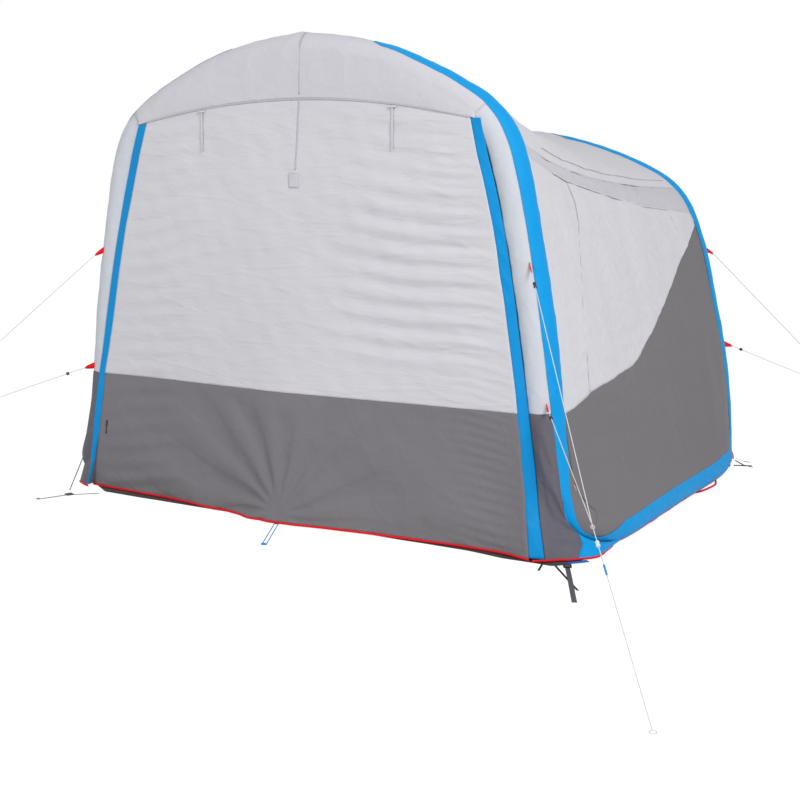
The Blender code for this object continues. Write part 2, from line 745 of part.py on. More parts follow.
def make_walls(frame, side, light, dark):
    front, rear, bottom = side_edges(frame)
    front_top = share_at_height(front, SHOULDER_FRONT_Z)
    rear_top = share_at_height(rear, SHOULDER_REAR_Z)
    shoulder_front = at_share(front, front_top)
    shoulder_rear = at_share(rear, rear_top)
    columns = own_shares(bottom)
    knots = (own_shares(front) / front_top, own_shares(rear) / rear_top)
    split_x, split_v = zip(*COLOUR_SPLIT_SHARES)
    split = np.interp(columns, split_x, split_v)
    gap = SEAM_GAP / SHOULDER_FRONT_Z
    vent = 0 * split + VENT_SHARE
    bands = (
        ("wall_lower", 0 * split, split - gap, dark),
        ("wall_upper", split + gap, vent - gap, light),
        ("vent_strip", vent + gap, 0 * split + 1.0 - gap, light),
    )
    for label, low, high, finish in bands:
        front_rows, rear_rows = matched((low[0], low[-1]), (high[0], high[-1]), knots)
        shares = []
        for front_share, rear_share in zip(front_rows, rear_rows):
            front_step = (front_share - low[0]) / (high[0] - low[0])
            rear_step = (rear_share - low[-1]) / (high[-1] - low[-1])
            steps = front_step + (rear_step - front_step) * columns
            shares.append(low + (high - low) * steps)
        grid = coons(
            lambda u: at_share(bottom, u),
            lambda u: shoulder_front + (shoulder_rear - shoulder_front) * u,
            lambda v: at_share(front, v * front_top),
            lambda v: at_share(rear, v * rear_top),
            columns, shares)
        depths = np.array([ROOF_SAG * row * 4 * columns * (1 - columns) for row in shares])
        if label == "vent_strip":
            pleats = np.sin(np.linspace(0.0, math.pi, len(shares)))[:, None] * 4 * columns * (1 - columns)
            depths = depths - VENT_PLEAT * pleats
        grid = sagged(grid, depths) * np.array([side, 1.0, 1.0])
        panel(("right_" if side > 0 else "left_") + label, grid, finish)


def make_roof(frame, light):
    front, rear, _ = side_edges(frame)
    front_top = share_at_height(front, SHOULDER_FRONT_Z)
    rear_top = share_at_height(rear, SHOULDER_REAR_Z)
    columns = np.linspace(0.0, 1.0, ROOF_COLUMNS + 1)
    knots = (own_shares(front), own_shares(rear))
    half = []
    for front_share, rear_share in zip(*matched((front_top, rear_top), (1.0, 1.0), knots)):
        a = at_share(front, front_share)
        b = at_share(rear, rear_share)
        half.append(a + (b - a) * columns[:, None])
    grid = both_sides(half[::-1])
    depths = np.array([ROOF_SAG * 4 * columns * (1 - columns)] * len(grid))
    return panel("roof_panel", sagged(grid, depths), light)


def skin_radius(degrees):
    """Radius of the sleeve's faceted skin at an angle round the tube."""
    from_middle = math.radians(degrees % FACET_DEG - FACET_DEG / 2)
    return SLEEVE_RADIUS * math.cos(math.radians(FACET_DEG / 2)) / math.cos(from_middle)


def seam_line(frame, low_z, high_z):
    """The seam down the front of the sleeve, foot first; it swings to the front at the shoulder."""
    centre = frame[0]
    shares, turns = zip(*SEAM_TURN_SHARES)
    points = []
    for index in range(FRONT_STATIONS - 1, -1, -1):
        if centre[index][2] > CORNER_MID_Z:
            degrees = np.interp(centre[index][2] / FRONT_CROWN_Z, shares, turns)
            radius = skin_radius(degrees) + EDGE_STANDOFF + CLOTH / 2
            points.append(ring_points(frame, index, radius, -degrees)[0])
    return between_heights(np.array(points), low_z, high_z)


def between_heights(points, low_z, high_z):
    """The part of a rising line between two heights, run on straight below its first point."""
    slope = (points[1] - points[0]) / (points[1][2] - points[0][2])
    start = points[0] + slope * (low_z - points[0][2])
    points = np.vstack([start, points[points[:, 2] > low_z]])
    kept = points[points[:, 2] < high_z]
    if len(kept) == len(points):
        return kept
    stop = share_at_height(points[:len(kept) + 1], high_z)
    return np.vstack([kept, at_share(points[:len(kept) + 1], stop)])


def rear_edge(frame, inset, low_z, high_z):
    """A line inside the rear arch, in the arch's middle plane, foot first."""
    centre, _, _, outs = frame
    near = SLEEVE_RADIUS * FLAT_SHARE
    upright = [i for i in range(len(centre)) if centre[i][2] > CORNER_MID_Z]
    flat = [i for i in upright if abs(centre[i][1] - REAR_ARCH_Y) < near]
    points = np.array([centre[i] - inset * outs[i] for i in flat])
    points[:, 1] = REAR_ARCH_Y
    return between_heights(points, low_z, high_z)


def seam_height(across):
    """Height of the curved seam that the door hangs from."""
    rise = DOOR_SEAM_CROWN_Z - DOOR_SEAM_SIDE_Z
    return DOOR_SEAM_CROWN_Z - rise * (across / DOOR_TOP_X) ** 2


def door_line(inset, forward, low_z, high_z):
    """A line beside the door's right edge, foot first, set forward of the arch's middle plane."""
    plane = FRONT_ARCH_Y - forward
    edge = [(x * BASE_HALF_WIDTH, z * DOOR_SEAM_SIDE_Z) for x, z in DOOR_EDGE_SHARES]
    points = np.array([(x - inset, plane, z) for x, z in edge])
    return between_heights(points, low_z, high_z)


def flap_edges(frame, inset):
    """The seam on the sleeve that holds the zip flap, and a line beside the door's edge, set behind it."""
    outer_top = seam_height(HEADER_END_X) - 2 * SEAM_GAP
    inner_top = DOOR_SEAM_SIDE_Z - 2 * SEAM_GAP
    outer = seam_line(frame, FLAP_BOTTOM_Z, outer_top)
    inner = door_line(inset, FLAP_INNER_FORWARD, FLAP_BOTTOM_Z, inner_top)
    return outer, inner


def door_grid(low, high, rows, low_gap, high_gap):
    """Points of the door between two shares of its height."""
    edge = door_line(0.0, DOOR_FORWARD, HEM_Z, DOOR_SEAM_SIDE_Z)
    columns = np.linspace(-1.0, 1.0, DOOR_COLUMNS + 1)
    grid = []
    for step in np.linspace(0.0, 1.0, rows + 1):
        row = []
        for u in columns:
            top = seam_height(u * edge[-1][0]) - SEAM_GAP
            start = low(top) + low_gap
            stop = high(top) - high_gap
            z = start + (stop - start) * step
            v = (z - HEM_Z) / (top - HEM_Z)
            side = np.interp(HEM_Z + v * (DOOR_SEAM_SIDE_Z - HEM_Z), edge[:, 2], edge[:, 0])
            x = u * side
            belly = DOOR_BULGE * math.sin(math.pi * v) * (1 - u * u)
            pull = DOOR_HEM_PULL * (1 - abs(u)) ** 1.2 * (1 - v) ** 3
            fold = DOOR_FOLD_DEPTH * math.sin(DOOR_FOLDS * math.pi * (u * u + v)) * (1 - u ** 4)
            fold *= (1 - v) * math.sin(math.pi * v)
            row.append((x, FRONT_ARCH_Y - DOOR_FORWARD - belly - pull - fold, z))
        grid.append(row)
    return np.array(grid)


def make_door(light, dark, red):
    hem_clear = HEM_RADIUS + TOUCH_GAP
    half = SEAM_GAP / 2
    lower = door_grid(lambda top: HEM_Z, lambda top: DOOR_SPLIT_Z, DOOR_LOWER_ROWS, hem_clear, half)
    upper = door_grid(lambda top: DOOR_SPLIT_Z, lambda top: top, DOOR_UPPER_ROWS, half, 0.0)
    panel("front_door_lower", lower, dark)
    panel("front_door_upper", upper, light)
    hem = lower[0].copy()
    hem[:, 2] = HEM_Z
    add_object("front_hem", wire(hem, HEM_RADIUS, HEM_SIDES), red)
    return lower, upper


def make_flap(frame, side, blue):
    outer, inner = flap_edges(frame, FLAP_OVERLAP)
    pairs = zip(*matched((0.0, 0.0), (1.0, 1.0), (own_shares(outer), own_shares(inner))))
    rows = [(at_share(outer, first), at_share(inner, second)) for first, second in pairs]
    grid = np.array(rows) * np.array([side, 1.0, 1.0])
    return panel(("right" if side > 0 else "left") + "_zip_flap", grid, blue)


def make_header(frame, light):
    across = np.append(np.linspace(0.0, DOOR_TOP_X, DOOR_COLUMNS // 2 + 1), HEADER_END_X)
    bottom = np.array([(x, FRONT_ARCH_Y - DOOR_FORWARD, seam_height(x) + SEAM_GAP) for x in across])
    arch = seam_line(frame, HEM_Z, FRONT_CROWN_Z)[::-1]
    inside = arch[arch[:, 0] < HEADER_END_X]
    end = [np.interp(HEADER_END_X, arch[:, 0], arch[:, axis]) for axis in range(3)]
    top = np.vstack([inside, end])
    half = []
    pairs = zip(*matched((0.0, 0.0), (1.0, 1.0), (own_shares(bottom), own_shares(top))))
    for bottom_share, top_share in pairs:
        low = at_share(bottom, bottom_share)
        high = at_share(top, top_share)
        half.append([low + (high - low) * step for step in np.linspace(0.0, 1.0, HEADER_ROWS + 1)])
    grid = both_sides(half).transpose(1, 0, 2)
    return panel("front_header", grid, light)


def make_rear_panels(frame, light, dark):
    crown = REAR_CROWN_Z - REAR_INSET
    edge = rear_edge(frame, REAR_INSET, HEM_Z, crown + SEAM_GAP)
    leg = edge[edge[:, 2] < SHOULDER_REAR_Z]
    top_half = edge[edge[:, 2] >= leg[-1][2]]
    top_line = np.vstack([mirrored(top_half), top_half[-2::-1]])
    foot = leg[0]
    columns = own_shares(top_line)
    gap = SEAM_GAP / (2 * crown)
    bands = (
        ("rear_panel_lower", 0.0, REAR_SPLIT_SHARE - gap, dark),
        ("rear_panel_upper", REAR_SPLIT_SHARE + gap, 1.0, light),
    )
    for name, low, high, finish in bands:
        shares = [np.full(len(columns), value) for value in filled(low, high, own_shares(leg), 0)]
        grid = coons(
            lambda u: mirrored(foot) + (foot - mirrored(foot)) * u,
            lambda u: at_share(top_line, u),
            lambda v: mirrored(at_share(leg, v)),
            lambda v: at_share(leg, v),
            columns, shares)
        for row, heights in zip(grid, shares):
            row[:, 1] += REAR_BULGE * np.sin(math.pi * heights) * 4 * columns * (1 - columns)
        panel(name, grid, finish)


def make_groundsheet(dark):
    shape = bmesh.new()
    low_y = FRONT_ARCH_Y - GROUNDSHEET_FRONT_OVERHANG
    high_y = REAR_ARCH_Y + GROUNDSHEET_BACK_OVERHANG
    outline = []
    middle_x = GROUNDSHEET_HALF - GROUNDSHEET_CORNER
    corners = ((1, 0, high_y), (-1, 90, high_y), (-1, 180, low_y), (1, 270, low_y))
    for side, start, y in corners:
        middle_y = y - GROUNDSHEET_CORNER if y > 0 else y + GROUNDSHEET_CORNER
        for degrees in np.linspace(start, start + 90, GROUNDSHEET_CORNER_POINTS):
            turn = math.radians(degrees)
            x = side * middle_x + GROUNDSHEET_CORNER * math.cos(turn)
            outline.append((x, middle_y + GROUNDSHEET_CORNER * math.sin(turn)))
    face = shape.faces.new([shape.verts.new((x, y, 0.0)) for x, y in outline])
    lifted = bmesh.ops.extrude_face_region(shape, geom=[face])
    moved = [item for item in lifted["geom"] if isinstance(item, bmesh.types.BMVert)]
    bmesh.ops.translate(shape, verts=moved, vec=(0.0, 0.0, GROUNDSHEET_THICKNESS))
    return add_object("groundsheet", shape, dark)


def leg_point(frame, height, rear, radius, degrees):
    """A point on one leg's tube at a height, with its outward direction and the way the leg runs there."""
    heights = frame[0][:, 2]
    legs = range(FRONT_STATIONS + BASE_STATIONS, len(heights) - 1) if rear else range(FRONT_STATIONS)
    spans = ((i, sorted((heights[i], heights[i + 1]))) for i in legs)
    first = next(i for i, span in spans if span[0] <= height <= span[1])
    low = ring_points(frame, first, radius, degrees)[0]
    high = ring_points(frame, first + 1, radius, degrees)[0]
    share = (height - heights[first]) / (heights[first + 1] - heights[first])
    centre = frame[0][first] + (frame[0][first + 1] - frame[0][first]) * share
    place = low + (high - low) * share
    return place, unit(place - centre), unit(high - low)


def make_valve(name, frame, beam, sleeve, rear, plastic):
    """A flanged inflation valve through the sleeve into the air tube, closed by its check flap and cap."""
    seat, radial, heading = leg_point(frame, VALVE_HEIGHT, rear, SLEEVE_RADIUS, VALVE_DEG)
    hole = turned([(-VALVE_DEPTH - OVERRUN, VALVE_NECK_RADIUS + VALVE_FIT),
                   (OVERRUN, VALVE_NECK_RADIUS + VALVE_FIT)], seat, radial, CAP_SIDES)
    cutter = add_object(name + "_hole", hole, plastic)
    cut(beam, cutter)
    cut(sleeve, cutter)
    flange_low = VALVE_STANDOFF
    flange_high = flange_low + VALVE_FLANGE
    top = flange_high + VALVE_RISE
    bore, neck, flange = VALVE_BORE_RADIUS, VALVE_NECK_RADIUS, VALVE_FLANGE_RADIUS
    body = [(-VALVE_DEPTH, neck), (flange_low, neck), (flange_low, flange), (flange_high, flange),
            (flange_high, neck), (top, neck), (top, bore), (top - VALVE_RECESS, bore)]
    add_object(name, turned(body, seat, radial, CAP_SIDES), plastic)
    cap_seat = seat + radial * (top + TOUCH_GAP)
    chamfer = CAP_THICKNESS / 4
    rim = CAP_THICKNESS - chamfer
    profile = [(0.0, CAP_RADIUS), (rim, CAP_RADIUS), (CAP_THICKNESS, CAP_RADIUS - chamfer)]
    cap = turned(profile, cap_seat, radial, CAP_SIDES)
    add_object(name + "_cap", cap, plastic)


def make_slider(frame, side, plastic):
    """A zip slider with its pull, on the front of the flap close to the door's edge."""
    outer, inner = flap_edges(frame, 0.0)
    low = at_share(inner, share_at_height(inner, SLIDER_Z))
    high = at_share(inner, share_at_height(inner, SLIDER_Z + SLIDER_TRAVEL))
    along = unit(high - low)
    knee = at_share(inner, share_at_height(inner, SLIDER_KNEE_Z))
    across = at_share(outer, share_at_height(outer, SLIDER_KNEE_Z)) - knee
    across = unit(across - np.dot(across, along) * along)
    normal = unit(np.cross(across, along))
    place = low + across * (SLIDER_WIDTH / 2 + SLIDER_INSET)
    place = place - normal * (CLOTH / 2 + SLIDER_CLEARANCE + SLIDER_THICKNESS / 2) * np.sign(normal[1])
    half = SLIDER_WIDTH / 2
    neck = half * SLIDER_NECK_SHARE
    outline = [(across_share * half if wide else across_share * neck, along_share * length)
               for across_share, wide, along_share, length in (
                   (1, False, -1.0, SLIDER_PULL), (1, False, -SLIDER_WAIST_SHARE, SLIDER_PULL),
                   (1, True, 0.0, SLIDER_LENGTH), (1, True, SLIDER_SHOULDER_SHARE, SLIDER_LENGTH),
                   (1, False, 1.0, SLIDER_LENGTH), (-1, False, 1.0, SLIDER_LENGTH),
                   (-1, True, SLIDER_SHOULDER_SHARE, SLIDER_LENGTH), (-1, True, 0.0, SLIDER_LENGTH),
                   (-1, False, -SLIDER_WAIST_SHARE, SLIDER_PULL), (-1, False, -1.0, SLIDER_PULL))]
    flip = np.array([side, 1.0, 1.0])
    name = ("right" if side > 0 else "left") + "_zip_slider"
    add_object(name, plate(outline, place * flip, across * flip, along * flip, SLIDER_THICKNESS), plastic)


def make_tab(name, frame, rear, side, height, target, red):
    """A folded webbing tab sewn into the sleeve's seam; the guy line is tied at its tip."""
    degrees = REAR_TAB_DEG if rear else FRONT_TAB_DEG
    seat, radial, heading = leg_point(frame, height, rear, skin_radius(degrees) + TAB_STANDOFF, degrees)
    flip = np.array([side, 1.0, 1.0])
    seat = seat * flip
    radial = radial * flip
    heading = heading * flip
    along = unit(radial * TAB_LIFT_SHARE + unit(np.asarray(target) - seat))
    across = heading
    half = TAB_WIDTH / 2
    tip = TAB_TIP / 2
    foot = TAB_LENGTH * TAB_FOOT_SHARE
    shoulder = TAB_LENGTH * TAB_SHOULDER_SHARE
    nose = tip * TAB_NOSE_SHARE
    outline = [(half, 0.0), (half, foot), (tip, shoulder), (nose, TAB_LENGTH),
               (-nose, TAB_LENGTH), (-tip, shoulder), (-half, foot), (-half, 0.0)]
    add_object(name, plate(outline, seat, across, along, TAB_THICKNESS), red)
    tip_end = seat + along * TAB_LENGTH
    pull = unit(np.asarray(target) - tip_end)
    flat = unit(np.cross(across, along)) * TAB_THICKNESS / 2
    reach = nose * abs(np.dot(across, pull)) + abs(np.dot(flat, pull))
    return tip_end + pull * (reach + TOUCH_GAP)


def make_cord(name, points, finish):
    """A taut guy line: straight runs with an eased bend where two lines join."""
    line = bpy.data.curves.new(name, 'CURVE')
    line.dimensions = '3D'
    line.bevel_depth = CORD_RADIUS
    line.bevel_resolution = 2
    line.use_fill_caps = True
    own = finish.copy()
    own.name = name + "_finish"
    line.materials.append(own)
    spline = line.splines.new('POLY')
    spline.points.add(len(points) - 1)
    for target, point in zip(spline.points, points):
        target.co = (*point, 1.0)
    item = bpy.data.objects.new(name, line)
    bpy.context.scene.collection.objects.link(item)
    return item


def cord_route(start, bend, stop):
    """Straight from start to bend and on to stop, rounded a little at the bend."""
    start, bend, stop = (np.asarray(point, dtype=float) for point in (start, bend, stop))
    ease = JOIN_EASE
    before = bend - unit(bend - start) * ease
    after = bend + unit(stop - bend) * ease
    middle = (before + 2 * bend + after) / 4
    first = [start + (before - start) * share for share in np.linspace(0.0, 1.0, CORD_POINTS // 2)]
    last = [after + (stop - after) * share for share in np.linspace(0.0, 1.0, CORD_POINTS // 2)]
    return np.array(first + [middle] + last)


def runner_profile(length, radius, waist):
    end = radius * RUNNER_END_SHARE
    lip = length * RUNNER_LIP_SHARE
    neck = length * RUNNER_WAIST_SHARE
    return [(0.0, RUNNER_BORE), (0.0, end), (lip, radius), (neck, waist),
            (length - neck, waist), (length - lip, radius), (length, end), (length, RUNNER_BORE)]


def make_runner(name, start, stop, distance, sizes, finish):
    """A line runner threaded on a straight stretch of guy line; sizes are its length, radius and waist."""
    start, stop = np.asarray(start), np.asarray(stop)
    direction = unit(stop - start)
    shape = turned_ring(runner_profile(*sizes), start + direction * distance, direction, RUNNER_SIDES)
    add_object(name, shape, finish)


def make_guys(frame, red, white, black):
    sets = (
        ("front_right", False, 1.0, FRONT_RIGHT_JOIN, FRONT_RIGHT_GROUND),
        ("front_left", False, -1.0, FRONT_LEFT_JOIN, FRONT_LEFT_GROUND),
        ("rear_right", True, 1.0, REAR_RIGHT_JOIN, REAR_RIGHT_GROUND),
        ("rear_left", True, -1.0, mirrored(REAR_RIGHT_JOIN), None),
    )
    routes = {}
    for label, rear, side, join, ground in sets:
        heights = REAR_TAB_HEIGHTS if rear else FRONT_TAB_HEIGHTS
        upper = make_tab(label + "_upper_tab", frame, rear, side, heights[0], join, red)
        lower = make_tab(label + "_lower_tab", frame, rear, side, heights[1], join, red)
        if ground is None:
            continue
        long_route = cord_route(upper, join, ground)
        middle = long_route[len(long_route) // 2]
        toward = unit(lower - middle)
        leans = [np.linalg.norm(np.cross(toward, unit(end - middle))) for end in (upper, np.asarray(ground))]
        short_end = middle + toward * (2 * CORD_RADIUS + TOUCH_GAP) / min(leans)
        short_route = lower + (short_end - lower) * np.linspace(0.0, 1.0, CORD_POINTS // 2)[:, None]
        make_cord(label + "_guy_line", long_route, white)
        make_cord(label + "_lower_line", short_route, white)
        routes[label] = (upper, lower, short_end, np.asarray(join), np.asarray(ground))
    runner = (RUNNER_LENGTH, RUNNER_RADIUS, RUNNER_WAIST)
    bead = (BEAD_LENGTH, BEAD_RADIUS, BEAD_RADIUS)
    upper, lower, short_end, join, ground = routes["front_right"]
    make_runner("front_right_upper_runner", upper, join, FRONT_RIGHT_UPPER_RUNNER_AT, runner, black)
    make_runner("front_right_lower_runner", lower, short_end, FRONT_RIGHT_LOWER_RUNNER_AT, bead, black)
    make_runner("front_right_main_runner", join, ground, FRONT_RIGHT_MAIN_RUNNER_AT, runner, white)
    upper, lower, short_end, join, ground = routes["front_left"]
    make_runner("front_left_lower_runner", lower, short_end, FRONT_LEFT_LOWER_RUNNER_AT, bead, black)
    upper, lower, short_end, join, ground = routes["rear_right"]
    make_runner("rear_right_lower_runner", lower, short_end, REAR_RIGHT_LOWER_RUNNER_AT, bead, black)


def ladder_rows():
    """Distances along a ladder buckle at the edges of its three bars."""
    slot = (BUCKLE_LENGTH - 3 * BUCKLE_BAR) / 2
    step = BUCKLE_BAR + slot
    return [0.0, BUCKLE_BAR, step, step + BUCKLE_BAR, 2 * step, BUCKLE_LENGTH]


def make_buckle(name, origin, along, plastic):
    """A ladder buckle, three bars and two slots, held clear of the ground by the webbing under it."""
    half = BUCKLE_WIDTH / 2
    inner = half - BUCKLE_BAR
    columns = [-half, -inner, inner, half]
    across = np.cross(along, (0.0, 0.0, 1.0))
    origin = np.array([origin[0], origin[1], BUCKLE_LIFT + BUCKLE_THICKNESS / 2])
    shape = slotted_plate(columns, ladder_rows(), {(1, 1), (1, 3)}, origin, across, along, BUCKLE_THICKNESS)
    add_object(name, shape, plastic)


def ground_path(start, along, steps):
    """Points from (distance, height) pairs along one direction over the ground."""
    points = [start + along * away for away, _ in steps]
    return np.array([(point[0], point[1], height) for point, (_, height) in zip(points, steps)])


def foot_corner(side, rear):
    """Centre of the groundsheet's rounded corner at one foot."""
    x = side * (GROUNDSHEET_HALF - GROUNDSHEET_CORNER)
    if rear:
        return np.array([x, REAR_ARCH_Y + GROUNDSHEET_BACK_OVERHANG - GROUNDSHEET_CORNER, 0.0])
    return np.array([x, FRONT_ARCH_Y - GROUNDSHEET_FRONT_OVERHANG + GROUNDSHEET_CORNER, 0.0])


def make_webbing(name, path, across, width, finish):
    return add_object(name, ribbon(path, across, width, WEB_THICKNESS), finish)


def make_front_right_foot(black):
    """A strap from the groundsheet's corner through a ladder buckle, crossing over a narrower strap."""
    web_z = WEB_THICKNESS / 2
    over_z = BUCKLE_LIFT + BUCKLE_THICKNESS + FOOT_CLEARANCE + web_z
    corner = foot_corner(1.0, False)
    tip = np.array([*FRONT_RIGHT_STRAP_TIP, 0.0])
    along = unit(tip - corner)
    across = np.cross(along, (0.0, 0.0, 1.0))
    start = corner + along * (GROUNDSHEET_CORNER + SEAM_GAP)
    reach = float(np.linalg.norm(tip - start))
    rows = [BUCKLE_AT + row for row in ladder_rows()]
    lifted_z = WEB_THICKNESS + FOOT_CLEARANCE + web_z
    steps = [(0.0, web_z), (rows[1], web_z), (rows[2], over_z), (rows[3], over_z), (rows[4], web_z),
             (rows[5] + WEB_WIDTH, web_z), (CROSSING_FROM, lifted_z), (CROSSING_TO, lifted_z),
             (CROSSING_TO + WEB_WIDTH, web_z), (reach, web_z)]
    make_webbing("front_right_foot_strap", ground_path(start, along, steps), across, WEB_WIDTH, black)
    make_buckle("front_right_buckle", start + along * BUCKLE_AT, along, black)
    edge_y = FRONT_ARCH_Y - GROUNDSHEET_FRONT_OVERHANG - SEAM_GAP
    narrow = np.array([(*FRONT_RIGHT_NARROW_FROM, web_z), (*FRONT_RIGHT_NARROW_TIP, web_z)])
    narrow[0][1] = edge_y
    path = narrow[0] + (narrow[1] - narrow[0]) * np.linspace(0.0, 1.0, 3)[:, None]
    make_webbing("front_right_narrow_strap", path, (1.0, 0.0, 0.0), NARROW_WEB_WIDTH, black)


def make_front_left_foot(frame, black, steel):
    """A strap down from the sleeve and one from the groundsheet, both to a peg plate, and a steel peg."""
    web_z = WEB_THICKNESS / 2
    join = np.array([*FRONT_LEFT_JOIN_PLATE, web_z])
    peg_tip = np.array([*FRONT_LEFT_PEG_TIP, 0.0])
    along = unit(peg_tip - join * np.array([1.0, 1.0, 0.0]))
    make_buckle("front_left_peg_plate", join, along, black)
    seat, radial, heading = leg_point(frame, LEG_STRAP_Z, False, SLEEVE_RADIUS + TAB_STANDOFF, FRONT_TAB_DEG)
    seat = mirrored(seat)
    across = mirrored(unit(np.cross(heading, radial)))
    under = join + along * BUCKLE_BAR
    touch = np.array([*FRONT_LEFT_STRAP_TOUCH, web_z])
    leg_path = [seat, seat + (touch - seat) / 2, touch, (touch + join) / 2 - along * FOOT_CLEARANCE]
    across[2] = 0.0
    make_webbing("front_left_leg_strap", leg_path, across, NARROW_WEB_WIDTH, black)
    edge_y = FRONT_ARCH_Y - GROUNDSHEET_FRONT_OVERHANG - SEAM_GAP
    first = np.array([FRONT_LEFT_NARROW_FROM_X, edge_y, web_z])
    path = first + (under - first) * np.linspace(0.0, 1.0, 3)[:, None]
    make_webbing("front_left_narrow_strap", path, (1.0, 0.0, 0.0), NARROW_WEB_WIDTH, black)
    side = np.cross(along, (0.0, 0.0, 1.0))
    rod = join + along * (BUCKLE_LENGTH + FOOT_CLEARANCE)
    rod[2] = PEG_RADIUS
    end = rod + along * float(np.linalg.norm((peg_tip - rod)[:2]))
    bend = PEG_HOOK / 2
    turns = np.linspace(0.0, math.pi, 5)[1:]
    hook = [end + side * bend * (1 - math.cos(turn)) + along * bend * math.sin(turn) for turn in turns]
    path = [rod, (rod + end) / 2, end] + hook + [hook[-1] - along * bend]
    add_object("front_left_peg", wire(path, PEG_RADIUS, LOOP_SIDES), steel)


def make_rear_foot(side, black):
    web_z = WEB_THICKNESS / 2
    corner = foot_corner(side, True)
    tip = np.array([side * REAR_STRAP_TIP[0], REAR_STRAP_TIP[1], 0.0])
    along = unit(tip - corner)
    facet = math.pi / 4 / (GROUNDSHEET_CORNER_POINTS - 1)
    start = corner + along * (GROUNDSHEET_CORNER * math.cos(facet) + SEAM_GAP)
    reach = float(np.linalg.norm(tip - start))
    path = ground_path(start, along, [(0.0, web_z), (reach / 2, web_z), (reach, web_z)])
    across = np.cross(along, (0.0, 0.0, 1.0))
    make_webbing(("rear_right" if side > 0 else "rear_left") + "_foot_strap", path, across, WEB_WIDTH, black)


def make_tie(side, upper, black):
    """A door tie: webbing that hangs in front of the door from the toggle sewn in at its top."""
    row = upper[-1]
    x = TIE_X * side
    top_z = float(np.interp(x, row[:, 0], row[:, 2])) - TIE_DROP
    depths = [np.interp(x, line[:, 0], line[:, 1]) for line in upper]
    heights = [np.interp(x, line[:, 0], line[:, 2]) for line in upper]
    half_bar = TIE_TOGGLE_RADIUS
    step = TOUCH_GAP
    web = WEB_THICKNESS / 2
    rows = ((0.0, TIE_TOGGLE_LENGTH, half_bar), (2 * half_bar, TIE_TOGGLE_LENGTH, half_bar),
            (2 * half_bar + step, TIE_WIDTH, web), (TIE_LENGTH / 2, TIE_WIDTH, web),
            (TIE_LENGTH, TIE_WIDTH, web))
    front, back = [], []
    for drop, width, half in rows:
        z = top_z - drop
        skin = min(float(np.interp(z, heights, depths)), FRONT_ARCH_Y - DOOR_FORWARD)
        middle = skin - CLOTH / 2 - TIE_CLEARANCE - half_bar
        for target, y in ((front, middle - half), (back, middle + half)):
            target.append([(x - width / 2, y, z), (x, y, z), (x + width / 2, y, z)])
    label = "right" if side > 0 else "left"
    add_object(label + "_door_tie", shell_between(np.array(front), np.array(back)), black)


def make_peg_loop(lower, blue):
    """A cord loop at the middle of the door's hem, with the toggle that holds it on its peg."""
    hem = lower[0]
    x = PEG_LOOP_X
    hem_y = float(np.interp(x, hem[:, 0], hem[:, 1]))
    start = np.array([x, hem_y - PEG_LOOP_TUCK, LOOP_WIRE])
    tip = np.array([*PEG_LOOP_TIP, LOOP_WIRE])
    along = unit(tip - start)
    across = np.cross(along, (0.0, 0.0, 1.0))
    half = LOOP_WIDTH / 2
    reach = float(np.linalg.norm(tip - start)) - half
    turns = np.linspace(-math.pi / 2, math.pi / 2, LOOP_END_POINTS)
    pairs = [(reach + half * math.cos(turn), half * math.sin(turn)) for turn in turns]
    pairs += [(half - half * math.cos(turn), half * math.sin(turn)) for turn in turns[::-1]]
    path = [start + along * ahead + across * aside for ahead, aside in pairs]
    add_object("door_peg_loop", wire(path, LOOP_WIRE, LOOP_SIDES, closed=True), blue)
    seat = start + along * (reach + half + LOOP_WIRE + LOOP_TOGGLE_RADIUS)
    seat = seat - across * LOOP_TOGGLE_LENGTH / 2
    seat[2] = LOOP_TOGGLE_RADIUS
    waist = LOOP_TOGGLE_RADIUS * RUNNER_END_SHARE
    profile = [(0.0, waist), (LOOP_TOGGLE_RADIUS, LOOP_TOGGLE_RADIUS),
               (LOOP_TOGGLE_LENGTH - LOOP_TOGGLE_RADIUS, LOOP_TOGGLE_RADIUS), (LOOP_TOGGLE_LENGTH, waist)]
    add_object("door_peg_toggle", turned(profile, seat, across, RUNNER_SIDES), blue)


